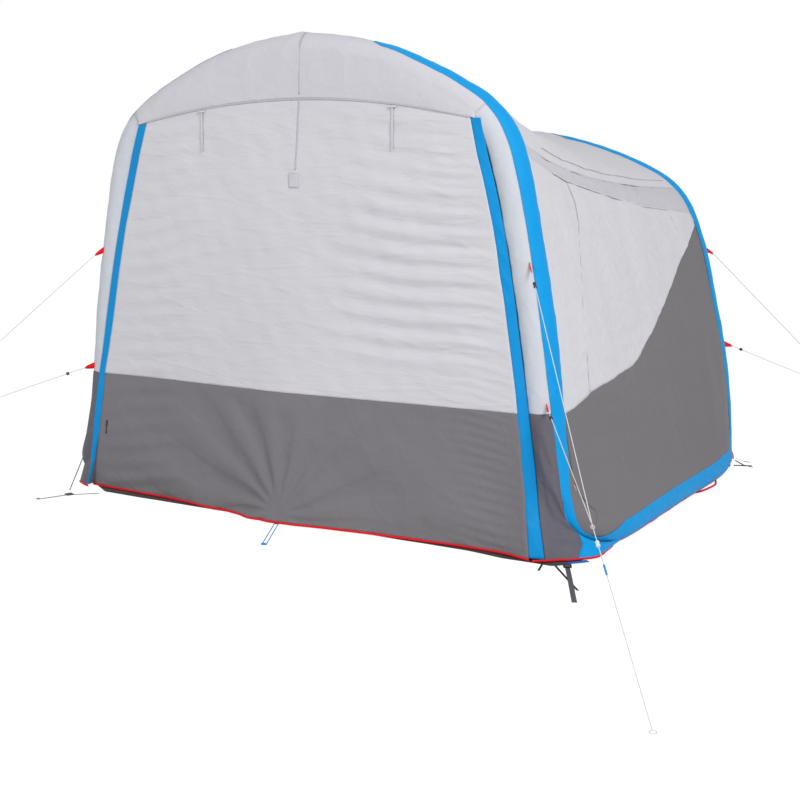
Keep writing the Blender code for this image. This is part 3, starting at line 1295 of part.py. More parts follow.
def main():
    clear_scene()
    light = material("light_polyester", (0.60, 0.60, 0.63), 0.75)
    grey_blue = material("sleeve_polyester", (0.47, 0.51, 0.58), 0.7)
    dark = material("dark_polyester", (0.20, 0.19, 0.21), 0.8)
    blue = material("blue_polyester", (0.01, 0.30, 0.76), 0.6)
    red = material("red_webbing", (0.72, 0.02, 0.04), 0.7)
    white = material("guy_line", (0.78, 0.78, 0.78), 0.6)
    black = material("black_webbing", (0.02, 0.02, 0.022), 0.6)
    plastic = material("black_plastic", (0.015, 0.015, 0.017), 0.4)
    tpu = material("air_tube", (0.72, 0.72, 0.74), 0.35)
    steel = material("steel_wire", (0.6, 0.6, 0.62), 0.3, 1.0)

    frame = side_frame()
    total = len(frame[0])
    front_indices = range(FRONT_STATIONS + 1)
    rear_indices = range(total - 1, FRONT_STATIONS - 1, -1)
    front_beam = make_beam("front_air_beam", frame, front_indices, tpu)
    rear_beam = make_beam("rear_air_beam", frame, rear_indices, tpu, FRONT_STATIONS)
    front_sleeve = make_sleeve("front_sleeve", frame, front_indices, grey_blue)
    rear_sleeve = make_sleeve("rear_sleeve", frame, rear_indices, grey_blue, FRONT_STATIONS)
    for side in (1.0, -1.0):
        label = "right" if side > 0 else "left"
        make_band(label + "_side_band", frame, side, blue)
        make_walls(frame, side, light, dark)
        make_flap(frame, side, blue)
        make_slider(frame, side, plastic)
    make_roof(frame, light)
    lower, upper = make_door(light, dark, red)
    make_header(frame, light)
    make_rear_panels(frame, light, dark)
    make_groundsheet(dark)
    make_valve("front_valve", frame, front_beam, front_sleeve, False, plastic)
    make_valve("rear_valve", frame, rear_beam, rear_sleeve, True, plastic)
    make_guys(frame, red, white, plastic)
    make_front_right_foot(black)
    make_front_left_foot(frame, black, steel)
    for side in (1.0, -1.0):
        make_rear_foot(side, black)
        make_tie(side, upper, black)
    make_peg_loop(lower, blue)


main()
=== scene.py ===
import math
import bpy
import numpy as np
from mathutils import Matrix


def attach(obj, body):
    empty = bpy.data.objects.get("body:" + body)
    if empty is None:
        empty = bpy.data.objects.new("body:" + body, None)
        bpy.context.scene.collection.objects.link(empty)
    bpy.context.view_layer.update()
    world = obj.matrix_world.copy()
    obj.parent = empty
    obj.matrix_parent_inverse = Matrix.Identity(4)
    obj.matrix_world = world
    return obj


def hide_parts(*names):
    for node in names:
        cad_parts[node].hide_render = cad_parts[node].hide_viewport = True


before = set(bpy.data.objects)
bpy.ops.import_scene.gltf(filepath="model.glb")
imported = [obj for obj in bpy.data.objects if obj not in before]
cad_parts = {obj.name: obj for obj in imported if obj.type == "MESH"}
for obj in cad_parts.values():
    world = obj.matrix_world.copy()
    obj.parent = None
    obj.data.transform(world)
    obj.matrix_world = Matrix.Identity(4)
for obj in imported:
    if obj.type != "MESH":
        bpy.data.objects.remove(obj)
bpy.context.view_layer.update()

# Lengths are in metres. X runs across the doorway, Y from the doorway to the back, Z up.

# Camera: the photograph's viewing angle, from the right of the doorway and a little above the ground.
bpy.context.scene.view_settings.view_transform = 'Standard'
bpy.ops.object.select_all(action='DESELECT')
bpy.ops.object.camera_add()
camera = bpy.context.active_object
camera.data.lens = 60.55
camera.data.sensor_width = 36.0
yaw = Matrix.Rotation(math.radians(29.78), 4, 'Z')
tilt = Matrix.Rotation(math.radians(90.0 - 9.58), 4, 'X')
roll = Matrix.Rotation(math.radians(0.05), 4, 'Z')
camera.matrix_world = Matrix.Translation((3.347, -5.802, 1.548)) @ yaw @ tilt @ roll
bpy.context.scene.camera = camera


# Guy lines: thin braided polyester cord in off-white, drawn tight from the sewn tabs to pegs outside
# the view. Each upper line runs through the join to the ground, and each lower line ends at the join.
def unit(vector):
    vector = np.asarray(vector, dtype=float)
    return vector / np.linalg.norm(vector)


def spans(points, axis=0):
    """Distances between neighbouring points along one axis of a line or a grid."""
    return np.linalg.norm(np.diff(points, axis=axis), axis=-1)


def running(lengths):
    """Lengths added up, from 0."""
    return np.concatenate([[0.0], np.cumsum(lengths)])


def arc_lengths(points):
    return running(spans(points))


def even(count, **more):
    """Evenly spaced shares from 0 to 1."""
    return np.linspace(0.0, 1.0, count, **more)


def blend(first, second, share):
    return first + (second - first) * share


def shaded(hexa, factor):
    """An sRGB hex colour as linear light, made darker or lighter."""
    parts = [int(hexa[index:index + 2], 16) / 255 for index in (0, 2, 4)]
    light = [((c + 0.055) / 1.055) ** 2.4 if c > 0.04045 else c / 12.92 for c in parts]
    return tuple(min(1.0, c * factor) for c in light) + (1.0,)


def feed(tree, node, sockets):
    """Set a node's inputs, each to a value or to another node's output."""
    for socket, value in sockets.items():
        if isinstance(value, bpy.types.NodeSocket):
            tree.links.new(value, node.inputs[socket])
        else:
            node.inputs[socket].default_value = value


def add_node(tree, kind, output, sockets, **settings):
    """Add a node with its settings and inputs, and give back the output that is used."""
    made = tree.nodes.new(kind)
    for key, value in settings.items():
        setattr(made, key, value)
    feed(tree, made, sockets)
    return made.outputs[output]


def combine(tree, operation, first, second):
    return add_node(tree, "ShaderNodeMath", "Value", {0: first, 1: second}, operation=operation)


def noise(tree, place, scale, detail, **more):
    sockets = {"Vector": place, "Scale": scale, "Detail": detail, **more}
    return add_node(tree, "ShaderNodeTexNoise", "Fac", sockets)


def ribs(tree, place, millimetres, direction='X', **more):
    """A wave texture whose bands repeat after so many millimetres."""
    sockets = {"Vector": place, "Scale": 2 * math.pi / (20 * millimetres / 1000), **more}
    return add_node(tree, "ShaderNodeTexWave", "Fac", sockets, bands_direction=direction)


def two_tone(tree, factor, colour, dark, light):
    """A colour that runs with a factor from a darker to a lighter shade of itself."""
    sockets = {"Factor": factor, "A": shaded(colour, dark), "B": shaded(colour, light)}
    return add_node(tree, "ShaderNodeMix", "Result", sockets, data_type='RGBA')


def bump(tree, height, strength, distance, **more):
    sockets = {"Height": height, "Strength": strength, "Distance": distance, **more}
    return add_node(tree, "ShaderNodeBump", "Normal", sockets)


def new_material(name):
    """A new material with its node tree and its shader."""
    made = bpy.data.materials.new(name)
    made.use_nodes = True
    return made, made.node_tree, made.node_tree.nodes["Principled BSDF"]


def braid(name, colour, strand_mm):
    """Woven or braided polyester tape and cord: ribs across it, painted shade between the ribs and painted
    light on their crests, a soft sheen.
    """
    made, tree, shader = new_material(name)
    place = tree.nodes.new("ShaderNodeTexCoord").outputs["Object"]
    turned = add_node(tree, "ShaderNodeMapping", "Vector", {"Vector": place, "Rotation": (0.4, 0.7, 0.8)})
    fuzz = noise(tree, place, 240.0, 3.0)
    # The ribs' height sets both the bump and the colour: painted shade in the grooves between ribs, painted
    # light on their crests.
    rib_height_and_painted_shade = combine(tree, 'MULTIPLY', ribs(tree, turned, strand_mm, Distortion=0.8), fuzz)
    feed(tree, shader, {"Roughness": 0.62, "Specular IOR Level": 0.2,
                        "Base Color": two_tone(tree, rib_height_and_painted_shade, colour, 0.86, 1.2),
                        "Normal": bump(tree, rib_height_and_painted_shade, 0.6, 0.0004)})
    return made


def guy_route(start, bend, stop):
    """Points of a line that eases round the join on its way to the ground."""
    start, bend, stop = (np.asarray(point, dtype=float) for point in (start, bend, stop))
    before = bend - unit(bend - start) * JOIN_EASE
    after = bend + unit(stop - bend) * JOIN_EASE
    steps = even(9)[:, None]
    middle = (before + 2 * bend + after) / 4
    return np.vstack([blend(start, before, steps), middle, blend(after, stop, steps)])


def placed(name, data):
    """An object made of its data and linked into the scene."""
    piece = bpy.data.objects.new(name, data)
    bpy.context.scene.collection.objects.link(piece)
    return piece


def cord_curve(name, points, diameter, material):
    line = bpy.data.curves.new(name, 'CURVE')
    line.dimensions = '3D'
    line.bevel_depth = diameter / 2
    line.bevel_resolution = 3
    line.use_fill_caps = True
    line.materials.append(material)
    spline = line.splines.new('POLY')
    spline.points.add(len(points) - 1)
    for target, point in zip(spline.points, points):
        target.co = (*point, 1.0)
    return placed(name, line)


def cord_ring(name, place, radius, steps, turn=(0.0, 0.0, 0.0)):
    """A small closed loop of the white cord."""
    bpy.ops.object.select_all(action='DESELECT')
    bpy.ops.mesh.primitive_torus_add(location=place, rotation=turn, major_radius=radius,
                                     minor_radius=RING_THICKNESS / 2, major_segments=steps,
                                     minor_segments=8)
    ring = bpy.context.active_object
    ring.name = name
    bpy.ops.object.transform_apply(location=True, rotation=True, scale=True)
    bpy.ops.object.shade_smooth()
    ring.data.materials.append(white_braid)
    return ring


def seat(piece, slot, *nodes, body="shelter"):
    """Let a piece ride on a body and stand for its CAD nodes; its slot is not used."""
    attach(piece, body)
    if nodes:
        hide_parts(*nodes)
    return piece


def guy_cord(name, route, node_name, **ends):
    """A taut length of the white cord along a route."""
    line = seat(cord_curve(name, route, CORD_DIAMETER, white_braid), "guy_line", node_name)


CORD_DIAMETER = 0.0035
RING_THICKNESS = 0.0032
JOIN_RADIUS = 0.0062
JOIN_EASE = 0.024
KEEPER_DIAMETER = 0.0075
KEEPER_SPOTS = (0.205, 0.215, 0.245, 0.255)
GROUND_LOOP = 0.011
GUY_POINTS = {
    "front_right": ((1.1457, -0.9029, 1.1571), (1.2318, -0.9085, 0.6062), (1.6966, -1.6041, 0.3730),
                    (1.713, -1.628, 0.363), (2.188, -2.349, 0.006)),
    "front_left": ((-1.1457, -0.9029, 1.1571), (-1.2318, -0.9085, 0.6062), (-1.7077, -1.6206, 0.3657),
                   (-1.713, -1.628, 0.363), (-1.960, -1.990, 0.006)),
    "rear_right": ((1.2306, 1.2445, 1.1260), (1.3493, 1.2515, 0.6417), (1.8422, 1.7828, 0.3545),
                   (1.850, 1.790, 0.350), (2.100, 2.110, 0.006)),
}
white_braid = braid("white_braided_cord", "DCDCDC", 1.2)
blue_braid = braid("blue_braided_cord", "0390E0", 1.2)
for corner, (upper, lower, short_end, join, ground) in GUY_POINTS.items():
    extras = [cord_ring(corner + "_join_ring", join, JOIN_RADIUS, 24, (1.1, 0.3, 0.6))]
    if corner == "front_right":
        downward = unit(np.subtract(ground, join))
        knots = np.asarray(join) + downward * np.array(KEEPER_SPOTS)[:, None]
        extras.append(cord_curve("front_right_blue_keeper", knots, KEEPER_DIAMETER, blue_braid))
        eye = np.asarray(ground) + downward * GROUND_LOOP + (0, 0, 0.002)
        extras.append(cord_ring("front_right_ground_loop", eye, GROUND_LOOP, 28))
    for extra in extras:
        seat(extra, "guy_line")
    guy_cord(corner + "_guy_cord", guy_route(upper, join, ground), corner + "_guy_line",
             far_end="bare", with_pieces=extras)
    short_run = blend(np.asarray(lower), np.asarray(short_end), even(15)[:, None])
    guy_cord(corner + "_lower_cord", short_run, corner + "_lower_line", far_end="object")


# Line runners: small moulded acetal beads and three-hole runners threaded on the guy lines. They keep
# their turned shape, in black, with one white runner below the front right join.
def moulded(name, colour, roughness=0.38, metallic=0.0):
    """Injection-moulded acetal or nylon: a fine mould grain, and rubbed places at random a little darker and
    shinier.
    """
    made, tree, shader = new_material(name)
    place = tree.nodes.new("ShaderNodeTexCoord").outputs["Object"]
    grain = noise(tree, place, 900.0, 3.0)
    wear = noise(tree, place, 90.0, 4.0)
    shine = add_node(tree, "ShaderNodeMapRange", "Result",
                     {"Value": wear, "To Min": roughness - 0.08, "To Max": roughness + 0.14})
    feed(tree, shader, {"Metallic": metallic, "Roughness": shine,
                        "Base Color": two_tone(tree, wear, colour, 0.85, 1.18),
                        "Normal": bump(tree, grain, 0.25, 0.0004)})
    return made


def finish(material, *node_names):
    """Give CAD nodes that keep their shape their finished material."""
    for node_name in node_names:
        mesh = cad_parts[node_name].data
        mesh.materials.clear()
        mesh.materials.append(material)


black_acetal = moulded("black_moulded_acetal", "19191C")
white_acetal = moulded("white_moulded_acetal", "E2E2E2", 0.45)
finish(black_acetal, "front_right_upper_runner", "front_right_lower_runner", "front_left_lower_runner",
       "rear_right_lower_runner")
finish(white_acetal, "front_right_main_runner")


# Guy tabs: folded red webbing, sewn into the sleeves two to a leg, with their corners rounded and
# their edges slightly frayed. Each is its solid's plate with softened edges.
def soften(node_name, name, material, slot, body="shelter", width=0.0004, segments=2):
    """A copy of a CAD node's plate or tape, merged, with its edges rounded, that stands for the node."""
    piece = placed(name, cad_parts[node_name].data.copy())
    bpy.ops.object.select_all(action='DESELECT')
    bpy.context.view_layer.objects.active = piece
    piece.select_set(True)
    bpy.ops.object.mode_set(mode='EDIT')
    bpy.ops.mesh.select_all(action='SELECT')
    bpy.ops.mesh.remove_doubles(threshold=0.0001)
    bpy.ops.mesh.tris_convert_to_quads()
    bpy.ops.object.mode_set(mode='OBJECT')
    edge = piece.modifiers.new("rounded_edges", 'BEVEL')
    edge.width = width
    edge.segments = segments
    edge.limit_method = 'ANGLE'
    bpy.ops.object.modifier_apply(modifier=edge.name)
    bpy.ops.object.shade_smooth_by_angle(angle=math.radians(35.0))
    piece.data.materials.clear()
    piece.data.materials.append(material)
    seat(piece, slot, node_name, body=body)


red_tape = braid("red_polyester_webbing", "EC1620", 1.8)
for end in ("front", "rear"):
    for side_name in ("left", "right"):
        for level in ("upper", "lower"):
            tab = f"{end}_{side_name}_{level}_tab"
            soften(tab, tab + "_webbing", red_tape, "red_webbing")


# Air tubes: welded film under pressure, hidden by the cloth sleeves but for what shows inside. The centre
# line of the right half runs from the front crown to the foot, along the ground and up to the rear crown.
HALF_WIDTH = 1.37
FRONT_Y = -0.80
REAR_Y = 1.205
FRONT_CROWN = 2.073
REAR_CROWN = 1.713
TUBE = 0.0759
BASE_Z = 0.0045 + TUBE
CORNER_Z = 0.125
CORNER_INSET = 0.055
BASE_EASE = 0.25
BASE_BOW = 0.015
FRONT_SHARES = (
    (0.0, 1.0), (0.19, 0.983), (0.336, 0.958), (0.467, 0.922), (0.555, 0.893), (0.637, 0.859),
    (0.695, 0.815), (0.73, 0.755), (0.772, 0.627), (0.825, 0.438), (0.85, 0.301), (0.869, 0.212),
    (0.9, 0.125))
REAR_SHARES = (
    (0.0, 1.0), (0.16, 0.992), (0.318, 0.968), (0.429, 0.943), (0.539, 0.911), (0.645, 0.872),
    (0.703, 0.841), (0.746, 0.804), (0.786, 0.74), (0.824, 0.652), (0.864, 0.518), (0.91, 0.355),
    (0.937, 0.203))
FRONT_COUNT = 130
BASE_COUNT = 70
REAR_COUNT = 120
MIRROR = np.array([-1.0, 1.0, 1.0])


def at_share(points, share):
    """The point or points at a share of a line's own length."""
    lengths = arc_lengths(points)
    target = np.asarray(share) * lengths[-1]
    return np.stack([np.interp(target, lengths, points[:, axis]) for axis in range(3)], axis=-1)


def curve_through(points, steps):
    """A centripetal curve through points, with so many steps between each two."""
    points = np.asarray(points, dtype=float)
    ends = np.vstack([2 * points[0] - points[1], points, 2 * points[-1] - points[-2]])
    traced = []
    for block in (ends[index:index + 4] for index in range(len(ends) - 3)):
        knots = running(np.sqrt(spans(block)))
        for value in np.linspace(knots[1], knots[2], steps, endpoint=False):
            def mix(first, second, low, high):
                mixed = (knots[high] - value) * first + (value - knots[low]) * second
                return mixed / (knots[high] - knots[low])
            lines = [mix(block[k], block[k + 1], k, k + 1) for k in range(3)]
            bends = [mix(lines[k], lines[k + 1], k, k + 2) for k in range(2)]
            traced.append(mix(bends[0], bends[1], 1, 2))
    traced.append(points[-1])
    return np.array(traced)


def tube_frame():
    """Centre line of the right half of the air frame, with the directions forward and outward along it."""
    front = [(x * HALF_WIDTH, FRONT_Y, z * FRONT_CROWN) for x, z in FRONT_SHARES]
    rear = [(x * HALF_WIDTH, REAR_Y, z * REAR_CROWN) for x, z in REAR_SHARES]
    corner_x = HALF_WIDTH - CORNER_INSET
    knots = front + [
        (corner_x, FRONT_Y + CORNER_INSET, CORNER_Z), (HALF_WIDTH, FRONT_Y + BASE_EASE, BASE_Z),
        (HALF_WIDTH + BASE_BOW, (FRONT_Y + REAR_Y) / 2, BASE_Z), (HALF_WIDTH, REAR_Y - BASE_EASE, BASE_Z),
        (corner_x, REAR_Y - CORNER_INSET, CORNER_Z)] + rear[::-1]
    steps = 24
    traced = curve_through(knots, steps)
    front_stop = (len(front) + 1) * steps
    rear_start = (len(front) + 3) * steps
    centre = np.vstack([at_share(traced[:front_stop + 1], even(FRONT_COUNT + 1)),
                        at_share(traced[front_stop:rear_start + 1], even(BASE_COUNT + 1))[1:],
                        at_share(traced[rear_start:], even(REAR_COUNT + 1))[1:]])
    centre[:, 2] = np.maximum(centre[:, 2], BASE_Z)
    heading = np.gradient(centre, axis=0)
    heading[0] = (1.0, 0.0, 0.0)
    heading[-1] = (-1.0, 0.0, 0.0)
    heading /= np.linalg.norm(heading, axis=1)[:, None]
    ahead = [np.array([0.0, -1.0, 0.0])]
    for direction in heading[1:]:
        ahead.append(unit(ahead[-1] - np.dot(ahead[-1], direction) * direction))
    ahead = np.array(ahead)
    out = np.cross(ahead, heading)
    twist = math.atan2(-ahead[-1][2], ahead[-1][1])
    ramp = np.ones(len(centre))
    ramp[:FRONT_COUNT + 1] = 0.0
    ramp[FRONT_COUNT:FRONT_COUNT + BASE_COUNT + 1] = even(BASE_COUNT + 1)
    angle = (twist * ramp)[:, None]
    turned = ahead * np.cos(angle) + out * np.sin(angle)
    return centre, turned, np.cross(turned, heading)


CENTRE, AHEAD, OUT = tube_frame()
ALONG = arc_lengths(CENTRE)


def on_tube(index, degrees, radius=TUBE):
    """A point on the tube's skin: 0 degrees faces forward, or down along the ground, and 90 outward."""
    turn = np.radians(degrees)
    return CENTRE[index] + radius * (np.cos(turn) * AHEAD[index] + np.sin(turn) * OUT[index])


tube_film = moulded("welded_tube_film", "D5D6DC", 0.3)
finish(tube_film, "front_air_beam", "rear_air_beam")


# Sleeves: coated polyester sewn into a tube round each air tube, tight, with small puckers and creases.
# Light cloth above the colour line, dark below it, and blue cloth under the base tubes. The light cloth's
# blue tint is a painted reflection of the blue bands beside it.
def waves(seed, u, v, count, low, high, lean=0.0):
    """A repeatable unevenness of about -1 to 1: straight waves, low to high of them to the metre."""
    rng = np.random.default_rng(seed)
    total = np.zeros(np.broadcast(u, v).shape)
    for _ in range(count):
        turn = lean + rng.uniform(-0.9, 0.9)
        rate = 2 * math.pi * rng.uniform(low, high)
        total += np.sin(rate * (u * math.cos(turn) + v * math.sin(turn)) + rng.uniform(0, 2 * math.pi))
    return total / math.sqrt(count)


def cloth(name, colour, roughness=0.68, crease=0.5, mottle=0.05, stretch=(1.0, 1.0, 1.0), sheen=0.08):
    """Coated plain-woven polyester: a matt face with a soft sheen, small creases, an uneven dye. The weave
    is drawn several times coarser than its 0.3 mm threads so that it shows."""
    made, tree, shader = new_material(name)
    spots = tree.nodes.new("ShaderNodeTexCoord").outputs
    spread = add_node(tree, "ShaderNodeMapping", "Vector", {"Vector": spots["Object"], "Scale": stretch})
    dye = noise(tree, spots["Object"], 2.6, 5.0, Roughness=0.6)
    crumple = noise(tree, spread, 18.0, 6.0, Roughness=0.6, Distortion=1.1)
    ridges = add_node(tree, "ShaderNodeTexVoronoi", "Distance", {"Vector": spread, "Scale": 7.0},
                      feature='DISTANCE_TO_EDGE')
    sharp = add_node(tree, "ShaderNodeMapRange", "Result",
                     {"Value": ridges, "From Max": 0.12, "To Min": 0.35, "To Max": 0.0})
    warp, weft = (ribs(tree, spots["UV"], WEAVE_MM, direction) for direction in "XY")
    threads = bump(tree, combine(tree, 'MULTIPLY', warp, weft), 0.12, 0.0003)
    creases = combine(tree, 'ADD', crumple, sharp)
    feed(tree, shader, {"Roughness": roughness, "Sheen Weight": sheen, "Sheen Roughness": 0.45,
                        "Specular IOR Level": 0.2,
                        "Base Color": two_tone(tree, dye, colour, 1 - mottle, 1 + mottle),
                        "Normal": bump(tree, creases, crease, 0.005, Normal=threads)})
    return made


def cloth_grid(name, points, materials, flip=False, closed=False):
    """A grid primitive whose points are moved into the piece's shape, with a UV map in metres."""
    if closed:
        points = np.concatenate([points, points[:, :1]], axis=1)
    rows, columns = points.shape[:2]
    bpy.ops.object.select_all(action='DESELECT')
    bpy.ops.mesh.primitive_grid_add(x_subdivisions=columns - 1, y_subdivisions=rows - 1, size=1.0,
                                    calc_uvs=True)
    piece = bpy.context.active_object
    piece.name = name
    mesh = piece.data
    mesh.name = name
    mesh.vertices.foreach_set("co", points.ravel())
    across = running(spans(points, 1).mean(axis=0))
    along = running(spans(points).mean(axis=1))
    corners = np.empty(len(mesh.loops), dtype=np.int32)
    mesh.loops.foreach_get("vertex_index", corners)
    spots = np.stack([across[corners % columns], along[corners // columns]], axis=-1)
    mesh.uv_layers[0].data.foreach_set("uv", spots.ravel())
    for material in materials:
        mesh.materials.append(material)
    mesh.update()
    bpy.ops.object.mode_set(mode='EDIT')
    bpy.ops.mesh.select_all(action='SELECT')
    if closed:
        bpy.ops.mesh.remove_doubles(threshold=0.00005)
    if flip:
        bpy.ops.mesh.flip_normals()
    bpy.ops.object.mode_set(mode='OBJECT')
    bpy.ops.object.shade_smooth()
    return piece


def thicken(piece, thickness):
    """Give cloth its thickness, half to each side of its middle surface."""
    bpy.context.view_layer.objects.active = piece
    wall = piece.modifiers.new("thickness", 'SOLIDIFY')
    wall.thickness = thickness
    wall.offset = 0.0
    bpy.ops.object.modifier_apply(modifier=wall.name)
    return piece


def state_cut(piece, points):
    """Work out the flat rectangle that a piece was cut from, narrowed where the cloth fills little of it;
    the result is not kept.
    """
    width = spans(points, 1).sum(axis=1).max()
    length = spans(points).sum(axis=0).max()
    first = np.cross(points[1:, :-1] - points[:-1, :-1], points[:-1, 1:] - points[:-1, :-1])
    second = np.cross(points[:-1, 1:] - points[1:, 1:], points[1:, :-1] - points[1:, 1:])
    area = (np.linalg.norm(first, axis=2).sum() + np.linalg.norm(second, axis=2).sum()) / 2
    width = min(width, area / (LEAST_FILL * length))


CLOTH = 0.0008
THIN_CLOTH = 0.0006
WEAVE_MM = 1.6
LEAST_FILL = 0.33


def sheet(name, points, material, slot, nodes, flip=False, thickness=CLOTH, body="shelter",
          held="stretched", rests_on=("front_sleeve", "rear_sleeve")):
    """A sewn piece of one cloth, which stands for its CAD nodes."""
    piece = thicken(cloth_grid(name, points, (material,), flip), thickness)
    state_cut(seat(piece, slot, *nodes, body=body), points)


def sleeve(name, rows, materials, choose, node_name, flip=False):
    """A sleeve round an air tube, each face in the cloth that choose picks from the face's middle."""
    piece = cloth_grid(name, rows, materials, flip, closed=True)
    mesh = piece.data
    middles = np.empty(len(mesh.polygons) * 3)
    mesh.polygons.foreach_get("center", middles)
    chosen = choose(*middles.reshape(-1, 3).T).astype(np.int32)
    mesh.polygons.foreach_set("material_index", chosen)
    seat(thicken(piece, CLOTH), "sleeve_polyester", node_name)
    state_cut(piece, np.concatenate([rows, rows[:, :1]], axis=1))


def pucker(index, degrees):
    """How far the sleeve's cloth stands off the tube's round: small puckers between its seams."""
    turn = np.radians(degrees)
    place = ALONG[index] + 0 * turn
    fine = waves(5, place, 0.15 * np.cos(turn), 7, 4.0, 15.0)
    fine = fine + waves(6, place, 0.15 * np.sin(turn), 7, 4.0, 15.0)
    return 0.0002 + 0.0006 * fine + 0.0005 * np.sin(7 * turn + 31 * place)


def skin(index, degrees, above=0.0):
    """Points of the sleeve's outer face at one station."""
    degrees = np.asarray(degrees, dtype=float)
    return on_tube(index, degrees[:, None], (TUBE + above + pucker(index, degrees))[:, None])


COLOUR_LINE = 0.585
SLEEVE_FRONT = FRONT_Y - 0.045
REAR_LIGHT = 1.30
BASE_TOP = 0.085
UNDER_FROM = -0.62
# The light sleeve cloth is the walls' light grey with a blue tint painted in, which stands for blue light
# reflected from the bands.
sleeve_light_painted_blue_reflection = cloth("sleeve_light_polyester", "CCCFD6", crease=0.6)
sleeve_dark = cloth("sleeve_dark_polyester", "66636C", crease=0.8, sheen=0.04)
wall_dark = cloth("wall_dark_polyester", "767376", crease=0.5, sheen=0.04)
base_blue = cloth("base_blue_polyester", "0072C4", roughness=0.6, sheen=0.0)
sleeve_turns = np.linspace(0.0, 360.0, 65)[:-1]
rows = np.array([skin(index, sleeve_turns) for index in range(FRONT_COUNT + 1)])
sleeve("front_sleeve_cloth", np.concatenate([rows[::-1], rows[1:] * MIRROR]),
       (sleeve_light_painted_blue_reflection, sleeve_dark, wall_dark),
       lambda x, y, z: (z < COLOUR_LINE) * (1 + (y > SLEEVE_FRONT)), "front_sleeve")
rows = np.array([skin(index, sleeve_turns) for index in range(FRONT_COUNT, len(CENTRE))])
sleeve("rear_sleeve_cloth", np.concatenate([rows, (rows * MIRROR)[::-1][1:]]),
       (sleeve_light_painted_blue_reflection, wall_dark, base_blue),
       lambda x, y, z: np.where((z < BASE_TOP) & (y > UNDER_FROM), 2, np.where(z < REAR_LIGHT, 1, 0)),
       "rear_sleeve", flip=True)

# Side bands: one piece of bright blue cloth on each side, sewn over the sleeves from beside the front crown
# down the leg, round the foot, along the ground and up the rear leg, with fine red piping under the base.
BAND_FRONT = (
    (0.34, 76), (0.40, 58), (0.587, 52), (0.787, 50), (0.942, 46), (1.064, 38), (1.22, 36), (1.43, 39),
    (1.65, 37), (1.87, 35), (2.08, 40), (2.29, 45), (2.46, 41), (2.577, 19), (2.666, -14), (2.74, -20),
    (2.891, 2), (3.168, 27), (3.487, 33), (3.80, 32), (4.118, 28), (4.40, 22), (4.60, 22), (5.0, 24),
    (5.9, 26), (6.6, 40), (6.75, 76))
BAND_BACK = (
    (0.34, 78), (0.40, 112), (0.6, 122), (2.1, 120), (2.29, 98), (2.461, 78), (2.577, 49), (2.666, 18),
    (2.74, 26), (2.891, 75), (3.168, 89), (3.487, 96), (3.80, 99), (4.118, 103), (4.40, 117), (4.535, 119),
    (4.602, 110), (4.67, 102), (4.825, 105), (4.998, 112), (5.80, 114), (5.93, 122), (6.055, 128),
    (6.6, 128), (6.75, 80))
LEFT_BAND_TURN = 68.0
LEFT_LEG_STOP = 2.9
BAND_LIFT = 0.0026
BASE_PIPING = 0.0045
SIDES = {"right": np.ones(3), "left": MIRROR}
# The base's run along the tube, from the front foot's bend to the rear foot's.
BASE_START, BASE_STOP = 2.87, 4.62
band_blue = cloth("band_blue_polyester", "0099DE", roughness=0.6, mottle=0.03, crease=0.7, sheen=0.0)


def table_at(table, place):
    return np.interp(place, *zip(*table))


band_stations = np.flatnonzero((ALONG >= BAND_FRONT[0][0]) & (ALONG <= BAND_FRONT[-1][0]))
for side_name, hand in SIDES.items():
    rows = []
    for index in band_stations:
        start = table_at(BAND_FRONT, ALONG[index])
        stop = table_at(BAND_BACK, ALONG[index])
        if side_name == "left" and ALONG[index] < LEFT_LEG_STOP:
            start, stop = max(start, LEFT_BAND_TURN), max(stop, LEFT_BAND_TURN + 30.0)
        rows.append(skin(index, np.linspace(start, stop, 23), BAND_LIFT))
    sheet(side_name + "_band_cloth", np.array(rows) * hand, band_blue, "blue_polyester",
          [side_name + "_side_band"], flip=side_name == "right")
    under = [i for i in band_stations if BASE_START < ALONG[i] < BASE_STOP]
    edge = np.array([on_tube(i, table_at(BAND_FRONT, ALONG[i]) - 2.0, TUBE + BAND_LIFT) for i in under])
    piping = cord_curve(side_name + "_base_piping", edge * hand, BASE_PIPING, red_tape)
    seat(piping, "red_webbing")

# Side walls: light cloth over dark, stretched between the arches and drawn in towards the middle, so that
# each hugs the base tube, rises and leans in. The colour line climbs in straight runs from front to back.
SPLIT_SHARES = (
    (0.0, 0.285), (0.12, 0.338), (0.238, 0.357), (0.378, 0.38), (0.417, 0.398), (0.522, 0.46),
    (0.677, 0.57), (0.88, 0.743), (1.0, 0.838))
COVER_SHARES = (
    (0.0, 0.975), (0.258, 0.953), (0.385, 0.95), (0.51, 0.94), (0.61, 0.927), (0.715, 0.912),
    (0.868, 0.902), (1.0, 0.885))
ATTACH_TURNS = (
    (0.0, 120), (2.2, 120), (2.46, 112), (2.9, 108), (4.3, 108), (4.7, 104), (5.0, 108), (6.0, 120))
ATTACH_LIFT = 0.0016
SHOULDER_FRONT = 1.66
SHOULDER_REAR = 1.47
WALL_SAG = 0.085
SAG_HEIGHT = 0.9
wall_light = cloth("wall_light_polyester", "D5D4D9", crease=0.65)
cover_light = cloth("cover_light_polyester", "C9C8CE", crease=0.8)
# The seam tape's grey, darker than the cloth beside it, is partly the seam's own colour and partly painted
# shade in the gap along the seam.
seam_grey_partly_painted_shade = cloth("seam_tape_polyester", "BAB9C1", crease=0.3)


def skin_line(spots, turns, above):
    """One point of the sleeve's outer face at each of several stations."""
    return np.array([skin(i, [turn], above)[0] for i, turn in np.broadcast(spots, turns)])


